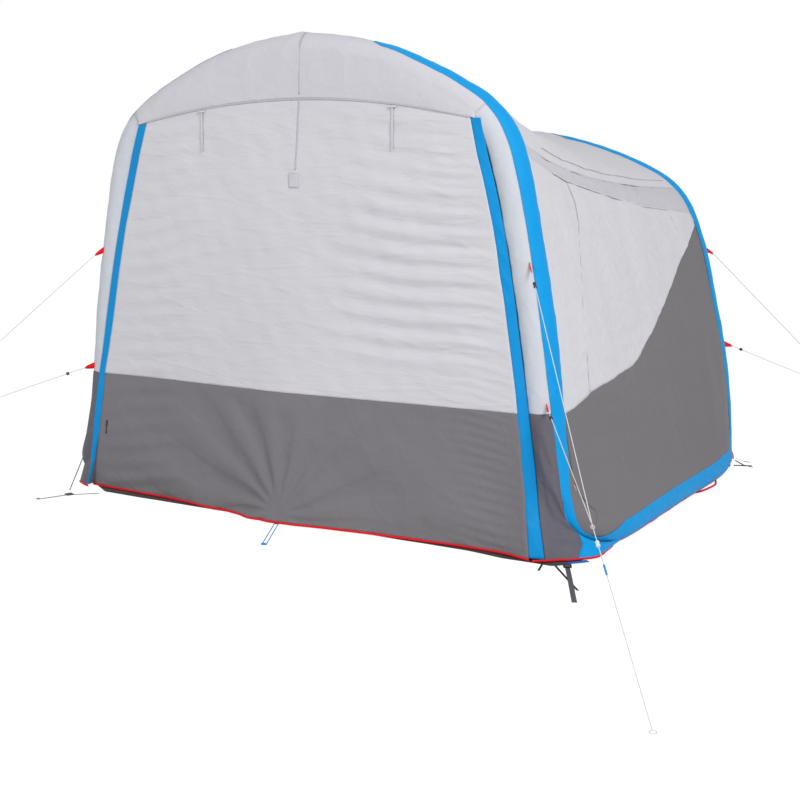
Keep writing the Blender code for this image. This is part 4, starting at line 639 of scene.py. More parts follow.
attach_line = skin_line(range(len(CENTRE)), table_at(ATTACH_TURNS, ALONG), ATTACH_LIFT)
LOW_FIRST, LOW_LAST = np.flatnonzero(CENTRE[:, 2] <= CORNER_Z)[[0, -1]]
FRONT_EDGE = attach_line[:LOW_FIRST + 1][::-1]
REAR_EDGE = attach_line[LOW_LAST:]
BOTTOM_EDGE = attach_line[LOW_FIRST:LOW_LAST + 1]


def share_at_height(points, height):
    return float(np.interp(height, points[:, 2], arc_lengths(points)) / arc_lengths(points)[-1])


FRONT_TOP = share_at_height(FRONT_EDGE, SHOULDER_FRONT)
REAR_TOP = share_at_height(REAR_EDGE, SHOULDER_REAR)


def drawn_in(points, depths):
    """Points moved towards the shelter's middle line."""
    inward = points * np.array([-1.0, 0.0, -1.0])
    inward[..., 2] += SAG_HEIGHT
    inward /= np.linalg.norm(inward, axis=-1)[..., None]
    return points + inward * depths[..., None]


def spanned(u, v, edges, corners):
    """Points of a sheet at shares u along it and v up it, blended from its edges and its corners."""
    a, b = u[..., None], v[..., None]
    low, high, near, far = edges
    twice = ((1 - a) * (1 - b) * corners[0] + a * (1 - b) * corners[1] + (1 - a) * b * corners[2]
             + a * b * corners[3])
    return (1 - b) * low + b * high + (1 - a) * near + a * far - twice


def wall_points(columns, shares, relief):
    """Points of the wall at shares of its length and height, drawn in towards its middle."""
    top_front = at_share(FRONT_EDGE, FRONT_TOP)
    top_rear = at_share(REAR_EDGE, REAR_TOP)
    edges = (at_share(BOTTOM_EDGE, columns), blend(top_front, top_rear, columns[..., None]),
             at_share(FRONT_EDGE, shares * FRONT_TOP), at_share(REAR_EDGE, shares * REAR_TOP))
    points = spanned(columns, shares, edges, (BOTTOM_EDGE[0], BOTTOM_EDGE[-1], top_front, top_rear))
    corner_out = 0.010 * np.exp(-((columns - 0.07) / 0.06) ** 2 - ((shares - 0.07) / 0.07) ** 2)
    return drawn_in(points, WALL_SAG * shares * 4 * columns * (1 - columns) + relief - corner_out)


def hugging_rows(count):
    """Rows of cloth that follow the tube from under the band's edge to where the wall leaves it."""
    spots = np.arange(LOW_FIRST, LOW_LAST + 1)
    stop = table_at(ATTACH_TURNS, ALONG[spots])
    start = np.minimum(table_at(BAND_BACK, ALONG[spots]) - 6.0, stop - 2.0)
    lines = [skin_line(spots, blend(start, stop, step), 0.0011 + 0.0005 * step)
             for step in even(count, endpoint=False)]
    return np.array([at_share(line, wall_columns) for line in lines])


BROAD_WAVES = 0.0028
FINE_WAVES = 0.0011
PLEAT_PITCH = 0.037
PLEAT_DEPTH = 0.0030
VENT_DEPTH = 0.012
wall_columns = even(121)
split = table_at(SPLIT_SHARES, wall_columns)
cover = table_at(COVER_SHARES, wall_columns)
edge_fade = np.minimum(1.0, 12 * wall_columns * (1 - wall_columns))[None, :]
for part, low, high, count, material, slot in (
        ("wall_lower", 0 * split, split, 56, wall_dark, "dark_polyester"),
        ("wall_upper", split, cover, 84, wall_light, "light_polyester"),
        ("vent_strip", cover, 0 * split + 1.0, 22, cover_light, "vent_mesh")):
    steps = even(count + 1)[:, None]
    shares = blend(low, high, steps)
    along = wall_columns * 2.0 + 0 * shares
    up = shares * 1.5
    relief = BROAD_WAVES * waves(17, along, up, 9, 1.2, 5.0, 0.6)
    relief = relief + FINE_WAVES * waves(19, along, up, 9, 7.0, 18.0, 1.2)
    if part == "vent_strip":
        inside = np.sin(math.pi * steps) * np.clip((along - 0.35) / 0.25, 0.0, 1.0)
        pleats = np.sin(2 * math.pi * along / PLEAT_PITCH + 2.6 * waves(31, along, up, 6, 0.6, 3.0))
        relief = relief * (1 - inside) - VENT_DEPTH * inside + PLEAT_DEPTH * inside * pleats
    relief = relief * edge_fade * np.minimum(1.0, shares / 0.12)
    points = wall_points(wall_columns + 0 * shares, shares, relief)
    if part == "wall_lower":
        points = np.concatenate([hugging_rows(6), points])
    for side_name, hand in SIDES.items():
        sheet(f"{side_name}_{part}_cloth", points * hand, material, slot, [f"{side_name}_{part}"],
              flip=side_name == "left")


def tape(name, points, away, width, material, slot="light_polyester", body="shelter", thickness=0.0008):
    """A flat sewn tape along a line; away is the direction that its face looks in."""
    points = np.asarray(points, dtype=float)
    headings = np.gradient(points, axis=0)
    side = np.cross(headings, np.asarray(away, dtype=float))
    side /= np.linalg.norm(side, axis=1)[:, None]
    face = np.cross(side, headings)
    face /= np.linalg.norm(face, axis=1)[:, None]
    if np.dot(face[0], away) < 0:
        face = -face
    steps = np.linspace(-0.5, 0.5, 5)[None, :, None]
    crown = thickness * (1 - (2 * steps) ** 4) + 0.0004
    grid = points[:, None] + side[:, None] * (steps * width) + face[:, None] * crown
    seat(thicken(cloth_grid(name, grid, (material,)), THIN_CLOTH), slot, body=body)


COVER_SIDES = {
    "cover_front_seam": ((0.258, 0.953), (0.268, 0.87), (0.203, 0.705), (0.147, 0.532), (0.115, 0.34)),
    "cover_rear_seam": ((0.868, 0.902), (0.875, 0.825), (0.883, 0.75))}
for side_name, hand in SIDES.items():
    for seam_name, shares in COVER_SIDES.items():
        run = curve_through(shares, 10)
        seam = wall_points(run[:, 0], run[:, 1], -0.0012) * hand
        tape(f"{side_name}_{seam_name}", seam, (hand[0], 0.0, 0.3), 0.007, wall_light)
    seam = wall_points(wall_columns[20:112], cover[20:112], -0.0022) * hand
    tape(side_name + "_cover_top_seam", seam, (hand[0], 0.0, 0.6), 0.008, wall_light)

# Roof: one light sheet between the arches, sewn to the back of the front sleeve and the front of the rear
# sleeve, which sags into a saddle between them.
UP = (0.0, 0.0, 1.0)
roof_columns = even(111)
roof_front = at_share(FRONT_EDGE, np.linspace(FRONT_TOP, 1.0, 76))
roof_rear = at_share(REAR_EDGE, np.linspace(REAR_TOP, 1.0, 76))
roof_half = blend(roof_front[:, None], roof_rear[:, None], roof_columns[None, :, None])
roof_points = np.concatenate([roof_half, (roof_half * MIRROR)[::-1][1:]])
roof_bow = 4 * roof_columns * (1 - roof_columns)
run, climb = np.meshgrid(roof_columns * 2.0, np.arange(len(roof_points)) * 0.016)
relief = 0.0030 * waves(23, run, climb, 9, 1.0, 4.5) + 0.0010 * waves(24, run, climb, 9, 6.0, 15.0)
roof_points = drawn_in(roof_points, WALL_SAG * roof_bow + relief * roof_bow)
sheet("roof_cloth", roof_points, wall_light, "light_polyester", ["roof_panel"], flip=True)
for row, seam_name in ((4, "right_roof_seam"), (-5, "left_roof_seam")):
    tape(seam_name, roof_points[row, 18:108], UP, 0.009, wall_light)

# Header: light cloth over the doorway, from the door's seam up over the front of the arch in one smooth
# face, so that the tube shows only as a soft swelling.
DOOR_Y = FRONT_Y - 0.080
SEAM_CROWN = 1.861
SEAM_SIDE = 1.772
DOOR_TOP_X = 0.843
HEADER_STOP = 0.945
header_light = cloth("header_light_polyester", "CDCBD1", crease=0.5)
door_light = cloth("door_light_polyester", "D1D0D5", crease=0.7, stretch=(0.45, 0.45, 1.6))


def seam_height(x):
    """Height of the curved seam that the door hangs from."""
    return SEAM_CROWN - (SEAM_CROWN - SEAM_SIDE) * (x / DOOR_TOP_X) ** 2


columns = []
for index in np.flatnonzero(ALONG[:FRONT_COUNT] <= HEADER_STOP):
    top = skin(index, np.linspace(0.0, 104.0, 19), 0.0010)
    foot_z = min(seam_height(CENTRE[index][0]) + 0.0006, top[0][2] - 0.002)
    steps = even(22, endpoint=False)[:, None]
    face = blend(np.array([CENTRE[index][0], DOOR_Y, foot_z]), top[0], steps)
    swell = 0.0016 * (1 + waves(51, face[:, 0], face[:, 2], 6, 0.6, 2.5))
    face[:, 1] -= np.sin(math.pi * steps[:, 0]) * swell
    columns.append(np.concatenate([face, top]))
half = np.array(columns).transpose(1, 0, 2)
header_points = np.concatenate([(half * MIRROR)[:, ::-1][:, :-1], half], axis=1)
sheet("header_cloth", header_points, header_light, "light_polyester", ["front_header"],
      thickness=THIN_CLOTH, rests_on=["front_sleeve"])

# Door: one sheet that hangs from the curved seam, light above and dark below a seam at knee height. Folds
# run in from its edges, and below they fan out from the middle of the hem, which a loop pegs forward.
RIGHT_EDGE = (
    (0.0, 1.197), (0.169, 1.164), (0.268, 1.149), (0.367, 1.129), (0.466, 1.1145), (0.564, 1.096),
    (0.662, 1.082), (0.76, 1.0645), (0.857, 1.0475), (0.954, 1.031), (1.05, 1.015), (1.146, 0.995),
    (1.242, 0.980), (1.338, 0.961), (1.433, 0.938), (1.528, 0.914), (1.623, 0.886), (1.772, 0.853))
LEFT_EDGE = (
    (0.0, 1.262), (0.035, 1.252), (0.113, 1.229), (0.236, 1.197), (0.359, 1.170), (0.48, 1.145),
    (0.6, 1.125), (0.72, 1.093), (0.838, 1.066), (0.955, 1.042), (1.071, 1.018), (1.186, 0.991),
    (1.299, 0.964), (1.412, 0.929), (1.523, 0.897), (1.634, 0.865), (1.772, 0.818))
HEM_LINE = (
    (-1.262, -0.845), (-1.10, -0.868), (-0.75, -0.893), (-0.43, -0.945), (-0.25, -0.985), (-0.068, -1.018),
    (0.1, -1.005), (0.281, -0.985), (0.70, -0.958), (1.042, -0.955), (1.212, -1.001))
HEM_Z = 0.0095
DOOR_SPLIT = 0.585
DOOR_BELLY = 0.018
DOOR_COLUMNS = 201
# The pitch and the depth of the door's three sets of folds, and the point that its fan spreads from.
SIDE_FOLDS, CRISP_FOLDS, LEFT_FOLDS = (0.092, 0.0058), (0.041, 0.0020), (0.085, 0.0030)
FAN_X, FAN_Z = -0.03, 0.05
FAN_DEPTH, DRAPE_DEPTH, RIPPLE_DEPTH = 0.0095, 0.007, 0.0016
hem_curve = curve_through(HEM_LINE, 16)
door_dark = cloth("door_dark_polyester", "7A777B", roughness=0.6, crease=0.7, sheen=0.04)


def fade(value, start, over):
    """A smooth rise from 0 to 1 that begins at start, or a fall where over is negative."""
    value = np.clip((value - start) / over, 0.0, 1.0)
    return value * value * (3 - 2 * value)


def half_width(u, z):
    """Half the door's width at a height, eased from the left edge's shape to the right edge's."""
    return blend(table_at(LEFT_EDGE, z), table_at(RIGHT_EDGE, z), fade(u, -1.0, 2.0))


def hem_pull(x, v):
    """How far the hem's pegs draw the cloth forward, fading with height."""
    pull = DOOR_Y - np.interp(x, hem_curve[:, 0], hem_curve[:, 1])
    return pull * (1 - v) ** np.where(pull > 0, 3, 8)


def door_points(low, high, rows):
    """Points of the door between two heights, up to its hanging seam where high is None."""
    def ridges(height, sizes, bend, seed, few, many):
        pitch, depth = sizes
        return depth * np.sin(2 * math.pi * height / pitch + bend * waves(seed, x, z, 5, few, many))

    u = np.linspace(-1.0, 1.0, DOOR_COLUMNS)[None, :]
    top = seam_height(u * half_width(u, SEAM_SIDE)) - 0.0005
    stop = top if high is None else 0 * u + high
    z = blend(low, stop, even(rows)[:, None])
    v = (z - HEM_Z) / (top - HEM_Z)
    x = u * half_width(u, HEM_Z + v * (SEAM_SIDE - HEM_Z))
    belly = DOOR_BELLY * np.sin(math.pi * v) * (1 - u * u)
    folds = ridges(z + 0.05 * (u - 0.6), SIDE_FOLDS, 1.2, 3, 0.4, 1.8) * fade(u, 0.05, 0.5)
    folds = folds * fade(z, 0.66, 0.2) * (0.3 + 0.7 * fade(z, 1.66, -0.4))
    folds = folds + ridges(z + 0.12 * x, CRISP_FOLDS, 1.6, 5, 0.6, 2.4) * fade(u, 0.62, 0.25)
    folds = folds + ridges(z - 0.10 * x, LEFT_FOLDS, 1.3, 4, 0.5, 2.0) * fade(u, -0.4, -0.4)
    angle = np.arctan2(z - FAN_Z, x - FAN_X)
    reach = np.hypot(x - FAN_X, z - FAN_Z)
    fan = np.sin(angle * 15 + 1.1 * waves(8, x, z, 4, 0.4, 1.4)) * fade(reach, 0.05, 0.15)
    fan = np.abs(fan) ** 0.6 * np.sign(fan) * fade(reach, 1.0, -0.6) * fade(z, 0.62, -0.2)
    fan = FAN_DEPTH * fan * (0.45 + 0.55 * fade(x, 0.125, -0.25))
    drape = DRAPE_DEPTH * waves(9, x, z, 6, 0.6, 2.6, 0.4) * fade(z, 0.02, 0.12)
    ripple = RIPPLE_DEPTH * waves(6, x, z, 10, 2.0, 9.0, 1.2) * fade(top - z, 0.0, 0.1)
    relief = (folds + (fan + drape) * fade(z, 0.60, -0.1) + ripple) * (1 - np.abs(u) ** 8)
    y = DOOR_Y - belly - hem_pull(x, v) - relief
    return np.stack([x, y, z], axis=-1)


lower_points = door_points(HEM_Z + 0.003, DOOR_SPLIT - 0.0003, 90)
upper_points = door_points(DOOR_SPLIT + 0.0003, None, 150)
sheet("door_lower_cloth", lower_points, door_dark, "dark_polyester", ["front_door_lower"],
      body="front_door", held="hung", rests_on=["door_upper_cloth"])
sheet("door_upper_cloth", upper_points, door_light, "light_polyester", ["front_door_upper"],
      body="front_door", held="hung", rests_on=["front_header"])

# Door trim: the seam tape that the door hangs from, the centre seam with the small reinforcing patch that
# ends it, and the red piping along the hem. The seams' darker grey is partly their own colour and partly
# painted shade in their gaps.
front_way = (0.0, -1.0, 0.0)
SEAM_WIDTH = 0.008
HEM_PIPING = 0.0105
CENTRE_SEAM_LOW = 1.555
PATCH_LOW, PATCH_HIGH, PATCH_HALF = 1.478, 1.545, 0.026
tape("door_seam_tape", upper_points[-1] - (0.0, 0.0012, 0.0), front_way, SEAM_WIDTH, seam_grey_partly_painted_shade)
run = header_points[2:34, header_points.shape[1] // 2].copy()
run[:, 0] += np.linspace(0.030, 0.036, len(run))
tape("header_centre_seam", run, front_way, SEAM_WIDTH, seam_grey_partly_painted_shade)
middle = upper_points[:, DOOR_COLUMNS // 2 + 3]
run = middle[middle[:, 2] > CENTRE_SEAM_LOW] - (0.0, 0.0008, 0.0)
run[:, 0] = np.interp(run[:, 2], (CENTRE_SEAM_LOW, 1.86), (0.012, 0.030))
tape("door_centre_seam", run, front_way, SEAM_WIDTH, seam_grey_partly_painted_shade, body="front_door")
patch = middle[(middle[:, 2] > PATCH_LOW) & (middle[:, 2] < PATCH_HIGH)]
steps = np.linspace(-1.0, 1.0, 15)
patch_points = np.stack([np.broadcast_to(0.003 + PATCH_HALF * steps, (len(patch), 15)),
                         patch[:, 1:2] - 0.0018 - 0.0010 * (1 - steps ** 6),
                         patch[:, 2:3] + 0 * steps], axis=-1)
piece = cloth_grid("door_seam_patch", patch_points, (cover_light,))
seat(thicken(piece, THIN_CLOTH), "light_polyester", body="front_door")
hem_run = lower_points[0] + (0.0, -0.0005, HEM_Z - lower_points[0][0][2])
hem = cord_curve("hem_piping", hem_run[::2], HEM_PIPING, red_tape)
seat(hem, "red_webbing", "front_hem", body="front_door")

# Zip flaps: a bright blue strip down each side of the door, sewn to the sleeve and tucked behind the door's
# edge, and below it a dark skirt that closes the sleeve's foot down to a red hem on the ground. On the right
# the blue band turns under the skirt's outer corner. On the left a dark sheet behind the narrowing strip is
# painted shade in the gap beside the door.
STRIP_ROWS = 150
STRIP_TOP = 1.766
RIGHT_SEAM = (
    (1.257, -0.974, 0.0095), (1.237, -0.955, 0.075), (1.206, -0.920, 0.170), (1.180, -0.885, 0.262),
    (1.160, -0.868, 0.367), (1.144, -0.866, 0.467), (1.129, -0.865, 0.565), (1.114, -0.863, 0.662),
    (1.099, -0.861, 0.760), (1.083, -0.858, 0.855), (1.068, -0.858, 0.954), (1.053, -0.858, 1.05),
    (1.037, -0.861, 1.146), (1.020, -0.862, 1.242), (1.000, -0.860, 1.338), (0.978, -0.860, 1.433),
    (0.953, -0.858, 1.528), (0.927, -0.862, 1.623), (0.898, -0.877, 1.769))
LEFT_SEAM = (
    (1.256, -0.895, 0.0095), (1.243, -0.880, 0.107), (1.224, -0.879, 0.231), (1.206, -0.879, 0.354),
    (1.184, -0.879, 0.475), (1.160, -0.878, 0.596), (1.134, -0.876, 0.716), (1.112, -0.874, 0.834),
    (1.089, -0.872, 0.952), (1.066, -0.870, 1.068), (1.041, -0.868, 1.183), (1.015, -0.865, 1.298),
    (0.989, -0.861, 1.411), (0.960, -0.858, 1.523), (0.926, -0.860, 1.634), (0.865, -0.877, 1.771))
RIGHT_HEM = (
    (1.257, -0.974), (1.279, -0.954), (1.304, -0.931), (1.339, -0.911), (1.368, -0.878), (1.398, -0.844),
    (1.417, -0.810), (1.420, -0.760), (1.416, -0.715), (1.411, -0.631))
LEFT_HEM = ((1.256, -0.895), (1.304, -0.872), (1.358, -0.839))
GUSSET_START = 0.34
GUSSET_TOP = 0.62
strip_blue = cloth("strip_blue_polyester", "008ED2", roughness=0.6, mottle=0.03, crease=0.6, sheen=0.0)
strip_z = np.linspace(HEM_Z + 0.006, STRIP_TOP, STRIP_ROWS)
SKIRT_PIPING = 0.0095
SKIRT_LIFT = 0.0012
ON_SLEEVE = {"thickness": THIN_CLOTH, "rests_on": ["front_sleeve"]}
steps = even(13)[None, :, None]


def at_height(line, heights):
    """The points of a rising line at heights."""
    return np.stack([np.interp(heights, line[:, 2], line[:, axis]) for axis in range(3)], axis=-1)


def tube_at_height(degrees, height):
    """The point at a height on the line that runs down the front leg at one turn."""
    return at_height(skin_line(range(FRONT_COUNT, 60, -1), degrees, SKIRT_LIFT), height)


def clear_of_tube(points, gap):
    """Points pushed out to stand clear of the sleeve."""
    near = np.argmin(np.linalg.norm(points[..., None, :] - CENTRE, axis=-1), axis=-1)
    away = points - CENTRE[near]
    reach = np.linalg.norm(away, axis=-1)[..., None]
    return CENTRE[near] + away * np.maximum(1.0, (TUBE + gap) / reach)


def skirt_cloth(low, high, near, far, a, b):
    """Points of a foot skirt, blended from its hem, its top and its two sides."""
    edges = (at_share(low, a), at_share(high, a), at_share(near, b), at_share(far, b))
    points = spanned(a, b, edges, (low[0], low[-1], high[0], high[-1]))
    crumple = waves(43, 0.2 * a, 0.5 * b, 9, 4.0, 15.0, 0.2) * np.sin(math.pi * a)
    points[..., 1] -= 0.0026 * crumple * np.sin(math.pi * b) ** 0.5
    return clear_of_tube(points, 0.0016)


for side_name, seam, hem in (("right", RIGHT_SEAM, RIGHT_HEM), ("left", LEFT_SEAM, LEFT_HEM)):
    hand = SIDES[side_name]
    on_left = side_name == "left"
    seam = curve_through(seam, 8)
    hem_points = np.insert(curve_through(hem, 8), 2, HEM_Z, axis=1)
    v = (strip_z - HEM_Z) / (SEAM_SIDE - HEM_Z)
    inner_x = half_width(hand[0], strip_z) - 0.003
    inner = np.stack([inner_x, DOOR_Y - hem_pull(inner_x * hand[0], v) + 0.0030, strip_z], axis=-1)
    outer = at_height(seam, strip_z) - (0.0, 0.003, 0.0)
    if on_left:
        # This dark sheet behind the strip is painted shade for the gap between the strip and the door's
        # edge; the strip narrows towards the foot so that more of it shows.
        gap_shade_backing = blend(inner[:60, None], outer[:60, None], steps) + (0.0, 0.0025, 0.0)
        piece = cloth_grid("left_flap_gap_painted_shade", gap_shade_backing * hand, (sleeve_dark,), flip=True)
        seat(thicken(piece, THIN_CLOTH), "dark_polyester")
        narrow = np.interp(strip_z, (0.0, 0.06, 0.14, 0.28, 0.42), (0.10, 0.38, 0.66, 0.90, 1.0))
        inner = blend(outer, inner, narrow[:, None])
    strip = blend(inner[:, None], outer[:, None], steps)
    swell = 0.0018 * (1 + 0.8 * waves(41, strip_z[:, None], 0.1 * steps[..., 0], 7, 3, 14))
    strip[..., 1] -= np.sin(math.pi * steps[..., 0]) * swell
    sheet(side_name + "_flap_cloth", strip * hand, strip_blue, "blue_polyester",
          [side_name + "_zip_flap"], flip=on_left, **ON_SLEEVE)
    stop = 2.72 if on_left else 2.93
    turns = np.full(len(CENTRE), 80.0) if on_left else table_at(BAND_FRONT, ALONG) + 3.0
    leg = np.flatnonzero((ALONG <= stop) & (CENTRE[:, 2] < COLOUR_LINE - 0.02))
    inset = CENTRE[leg[0]][0] - at_height(outer, COLOUR_LINE)[0]
    low_turn = -math.degrees(math.asin(min(0.9, max(0.0, inset) / TUBE)))
    top_turns = np.linspace(low_turn, turns[leg[0]], 30)
    top_side = np.array([tube_at_height(turn, COLOUR_LINE) for turn in top_turns])
    outer_side = np.vstack([top_side[-1], skin_line(leg, turns[leg], SKIRT_LIFT), hem_points[-1]])[::-1]
    inner_side = at_height(seam, np.linspace(HEM_Z, COLOUR_LINE, 40))
    inner_side[0] = hem_points[0]
    inner_side[-1] = top_side[0]
    edges = (hem_points, top_side, inner_side, outer_side)
    skirt = skirt_cloth(*edges, *np.meshgrid(even(56), even(61)))
    sheet(side_name + "_foot_skirt", skirt * hand, sleeve_dark, "dark_polyester", [], flip=on_left,
          **ON_SLEEVE)
    if not on_left:
        across, up = np.meshgrid(even(14), even(40))
        start = blend(GUSSET_START, 0.985, up ** 1.8)
        gusset = skirt_cloth(*edges, blend(start, 1.0, across), up * GUSSET_TOP) + (0.0010, -0.0016, 0.0)
        sheet("right_foot_gusset", gusset, band_blue, "blue_polyester", [], **ON_SLEEVE)
        hem_points = np.vstack([(1.212, -1.001, HEM_Z), hem_points])
    piping = cord_curve(side_name + "_skirt_piping", hem_points * hand, SKIRT_PIPING, red_tape)
    seat(piping, "red_webbing")
under_corner = ((1.338, -0.935, 0.003), (1.358, -0.917, 0.003), (1.380, -0.893, 0.003),
                (1.398, -0.868, 0.003))
tape("right_corner_underside", under_corner, UP, 0.030, base_blue, "blue_polyester")

# Zip sliders: small moulded acetal sliders with a pull. They run on the zips under the flaps and close the
# door, and stand at the foot of each flap.
finish(black_acetal, "left_zip_slider", "right_zip_slider")

# Door ties and peg loop: pale tapes with small toggles that hold the rolled door, and a blue cord loop with
# a moulded toggle that pegs the hem forward.
grey_tape = braid("grey_polyester_tape", "D2D1D7", 1.4)
blue_acetal = moulded("blue_moulded_acetal", "0384D8", 0.42)
for side_name in ("left", "right"):
    soften(side_name + "_door_tie", side_name + "_tie_tape", grey_tape, "black_webbing", "front_door")
soften("door_peg_loop", "peg_loop_cord", blue_braid, "blue_cord", "front_door", 0.0003, 1)
soften("door_peg_toggle", "peg_toggle_bar", blue_acetal, "black_plastic", "front_door")


# Back wall: coated polyester cloth, dark below and light above, stretched inside the rear arch like the
# door but sewn to the sleeve all round.
def rear_inside():
    """The line inside the rear arch, foot first, in the arch's middle plane."""
    upright = (np.abs(CENTRE[:, 1] - REAR_Y) < TUBE * 0.3) & (CENTRE[:, 2] > CORNER_Z)
    line = CENTRE[upright] - (TUBE + 0.0010) * OUT[upright]
    line[:, 1] = REAR_Y
    foot = blend(line[0], line[1], (HEM_Z - line[0][2]) / (line[1][2] - line[0][2]))
    return np.vstack([foot, line])


REAR_LINE = rear_inside()
BACK_SPLIT = 0.80
BACK_BELLY = 0.025


def back_points(low, high, rows):
    """Points of the back wall between two shares of its height."""
    leg = REAR_LINE[REAR_LINE[:, 2] < SHOULDER_REAR]
    over = REAR_LINE[len(leg) - 1:]
    top_line = np.vstack([over * MIRROR, over[-2::-1]])
    u, v = np.meshgrid(even(121), np.linspace(low, high, rows))
    foot_left, right = leg[0] * MIRROR, at_share(leg, v)
    edges = (blend(foot_left, leg[0], u[..., None]), at_share(top_line, u), right * MIRROR, right)
    points = spanned(u, v, edges, (foot_left, leg[0], top_line[0], top_line[-1]))
    bow = 4 * u * (1 - u)
    wrinkle = 0.0030 * np.minimum(1.0, 6 * bow) * waves(61, points[..., 0], points[..., 2], 9, 1.0, 5.0)
    points[..., 1] += np.sin(math.pi * v) * (BACK_BELLY * bow + wrinkle)
    return points


for name, low, high, rows, material, node_name, slot in (
        ("back_lower_cloth", 0.0, BACK_SPLIT - 0.0003, 90, wall_dark, "rear_panel_lower", "dark_polyester"),
        ("back_upper_cloth", BACK_SPLIT + 0.0003, 1.0, 40, wall_light, "rear_panel_upper",
         "light_polyester")):
    sheet(name, back_points(low, high, rows), material, slot, [node_name], flip=True,
          rests_on=["rear_sleeve"])

# Groundsheet: coated polyester in near black. It lies flat under the tubes and shows along the doorway, and
# the feet's webbing pegs it down.
GROUND_FRONT = (
    (-1.36, -0.70), (-1.30, -0.80), (-1.114, -0.925), (-0.43, -0.945), (0.2, -0.955), (0.9, -0.972),
    (1.08, -0.998), (1.30, -1.003), (1.36, -0.94), (1.385, -0.80))
GROUND_BACK = REAR_Y + 0.06
GROUND_HALF = 1.385
COATED_SHEET = 0.0012
groundsheet_dark = cloth("groundsheet_coated_polyester", "3F3D40", roughness=0.5, crease=0.4)
u, v = np.meshgrid(np.linspace(-GROUND_HALF, GROUND_HALF, 181), even(101))
ground_y = blend(table_at(GROUND_FRONT, u), GROUND_BACK, v)
ground_x = u * (1 - 0.02 * np.clip((ground_y - (GROUND_BACK - 0.1)) / 0.1, 0.0, 1.0) ** 2)
ground_z = np.clip(0.0022 + 0.0005 * waves(71, ground_x, ground_y, 8, 1.0, 6.0), 0.0010, 0.0036)
sheet("groundsheet_cloth", np.stack([ground_x, ground_y, ground_z], axis=-1), groundsheet_dark,
      "dark_polyester", ["groundsheet"], thickness=COATED_SHEET, held="laid", rests_on=())

# Inflation valves: flanged moulded acetal valves that pass through the sleeves on the inner side of the
# right legs, each closed by a cap on its own hinge.
finish(black_acetal, "front_valve", "rear_valve", "front_valve_cap", "rear_valve_cap")

# Foot webbing: black polyester straps from the feet, with a moulded buckle and plate and one steel peg, and
# at the rear right foot two strap tails and a red tab. Red loops hang from the right base tube's piping.
black_tape = braid("black_polyester_webbing", "2A292C", 1.8)
grey_webbing = braid("grey_polyester_webbing", "5A595D", 1.8)
for part in ("front_left_leg", "front_left_narrow", "front_right_foot", "front_right_narrow",
             "rear_left_foot", "rear_right_foot"):
    material = grey_webbing if part == "front_right_foot" else black_tape
    soften(part + "_strap", part + "_strap_tape", material, "black_webbing")
finish(black_acetal, "front_right_buckle", "front_left_peg_plate")
steel = moulded("galvanised_steel_rod", "8D8E92", 0.36, 1.0)
finish(steel, "front_left_peg")
for name, line, width in (
        ("front_right_short_strap", ((1.258, -0.990, 0.006), (1.264, -1.020, 0.007), (1.274, -1.062, 0.005),
                                     (1.282, -1.094, 0.003)), 0.009),
        ("rear_right_long_tail", ((1.385, 1.27, 0.030), (1.42, 1.30, 0.012), (1.451, 1.327, 0.004)), 0.016),
        ("rear_right_short_tail", ((1.390, 1.26, 0.020), (1.44, 1.235, 0.006), (1.50, 1.21, 0.004)), 0.012)):
    tape(name, line, UP, width, black_tape, "black_webbing")
foot_tab = ((1.325, 1.400, 0.040), (1.350, 1.330, 0.040), (1.366, 1.280, 0.026))
tape("rear_right_foot_tab", foot_tab, (0.6, -0.5, 0.6), 0.022, red_tape, "red_webbing", thickness=0.0010)
for name, loop in (
        ("base_loop_1", ((1.360, 0.07, 0.014), (1.393, 0.139, 0.010), (1.390, 0.249, 0.010),
                         (1.36, 0.33, 0.014))),
        ("base_loop_2", ((1.400, 0.42, 0.014), (1.431, 0.508, 0.010), (1.448, 0.616, 0.010),
                         (1.450, 0.70, 0.010), (1.41, 0.82, 0.014)))):
    seat(cord_curve(name, curve_through(loop, 8), 0.010, red_tape), "red_webbing")


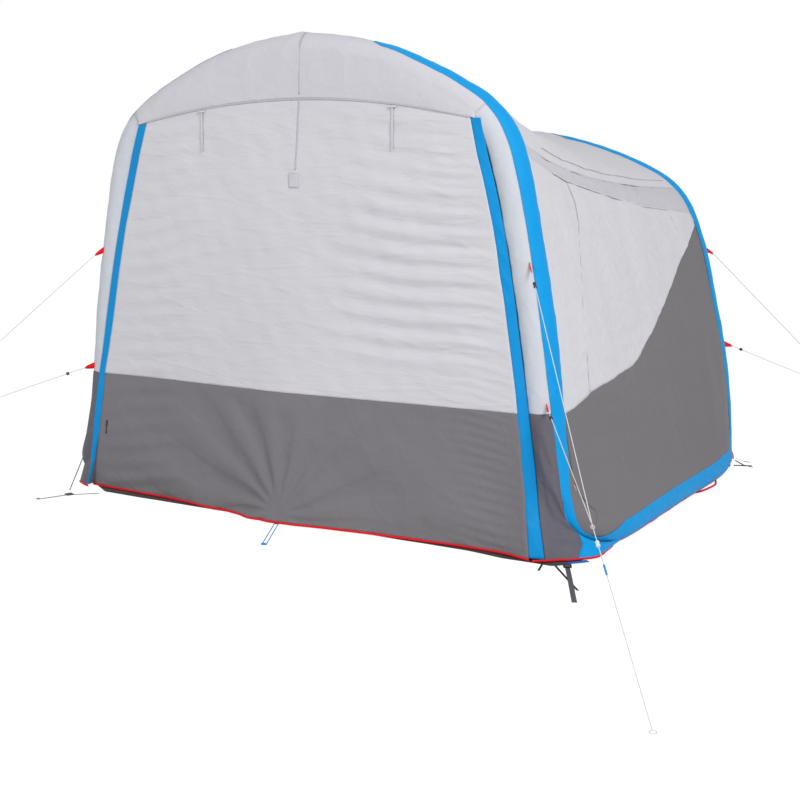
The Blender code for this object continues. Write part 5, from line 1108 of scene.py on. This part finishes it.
# Studio: a plain pale floor that keeps a faint shadow, soft lights and a white surround.
def seen_or_not(tree, output, seen, unseen):
    """One shader where a ray comes straight, mirrored or through glass from the camera, or else another."""
    rays = tree.nodes.new("ShaderNodeLightPath").outputs
    direct = combine(tree, 'MAXIMUM', rays["Is Camera Ray"], rays["Is Glossy Ray"])
    direct = combine(tree, 'MAXIMUM', direct, rays["Is Transmission Ray"])
    shown = add_node(tree, "ShaderNodeMixShader", "Shader", {0: direct, 1: unseen, 2: seen})
    tree.links.new(shown, output.inputs["Surface"])


bpy.ops.object.select_all(action='DESELECT')
bpy.ops.mesh.primitive_plane_add(size=80.0, location=(0.0, 0.0, -0.0008))
floor = bpy.context.active_object
floor.name = "studio_floor"
floor_finish, tree, shader = new_material("studio_floor_paint")
feed(tree, shader, {"Base Color": (0.86, 0.86, 0.86, 1.0), "Roughness": 0.95, "Specular IOR Level": 0.0})
pale = add_node(tree, "ShaderNodeBsdfDiffuse", "BSDF", {"Color": (0.25, 0.25, 0.25, 1.0)})
glow = add_node(tree, "ShaderNodeEmission", "Emission", {"Strength": 0.9})
bright = add_node(tree, "ShaderNodeAddShader", "Shader", {0: pale, 1: glow})
seen_or_not(tree, tree.nodes["Material Output"], bright, shader.outputs["BSDF"])
floor.data.materials.append(floor_finish)

world = bpy.data.worlds.new("studio_surround")
bpy.context.scene.world = world
world.use_nodes = True
tree = world.node_tree
tree.nodes.clear()
soft, plain = (add_node(tree, "ShaderNodeBackground", "Background", {"Color": colour, "Strength": strength})
               for colour, strength in (((0.96, 0.98, 1.0, 1.0), 0.46), ((1.0, 1.0, 1.0, 1.0), 1.0)))
seen_or_not(tree, tree.nodes.new("ShaderNodeOutputWorld"), plain, soft)

for name, place, target, size, power in (("key_light", (6.6, -4.6, 6.4), (0.2, 0.0, 0.9), 3.5, 450.0),
                                         ("fill_light", (-3.5, -8.0, 3.5), (0.0, -0.5, 1.0), 5.0, 140.0)):
    bpy.ops.object.light_add(type='AREA', location=place)
    lamp = bpy.context.active_object
    lamp.name = name
    lamp.data.shape = 'DISK'
    lamp.data.size = size
    lamp.data.energy = power
    aim = np.subtract(target, place)
    pitch = math.atan2(math.hypot(aim[0], aim[1]), -aim[2])
    lamp.rotation_euler = (pitch, 0.0, math.atan2(aim[1], aim[0]) - math.pi / 2)
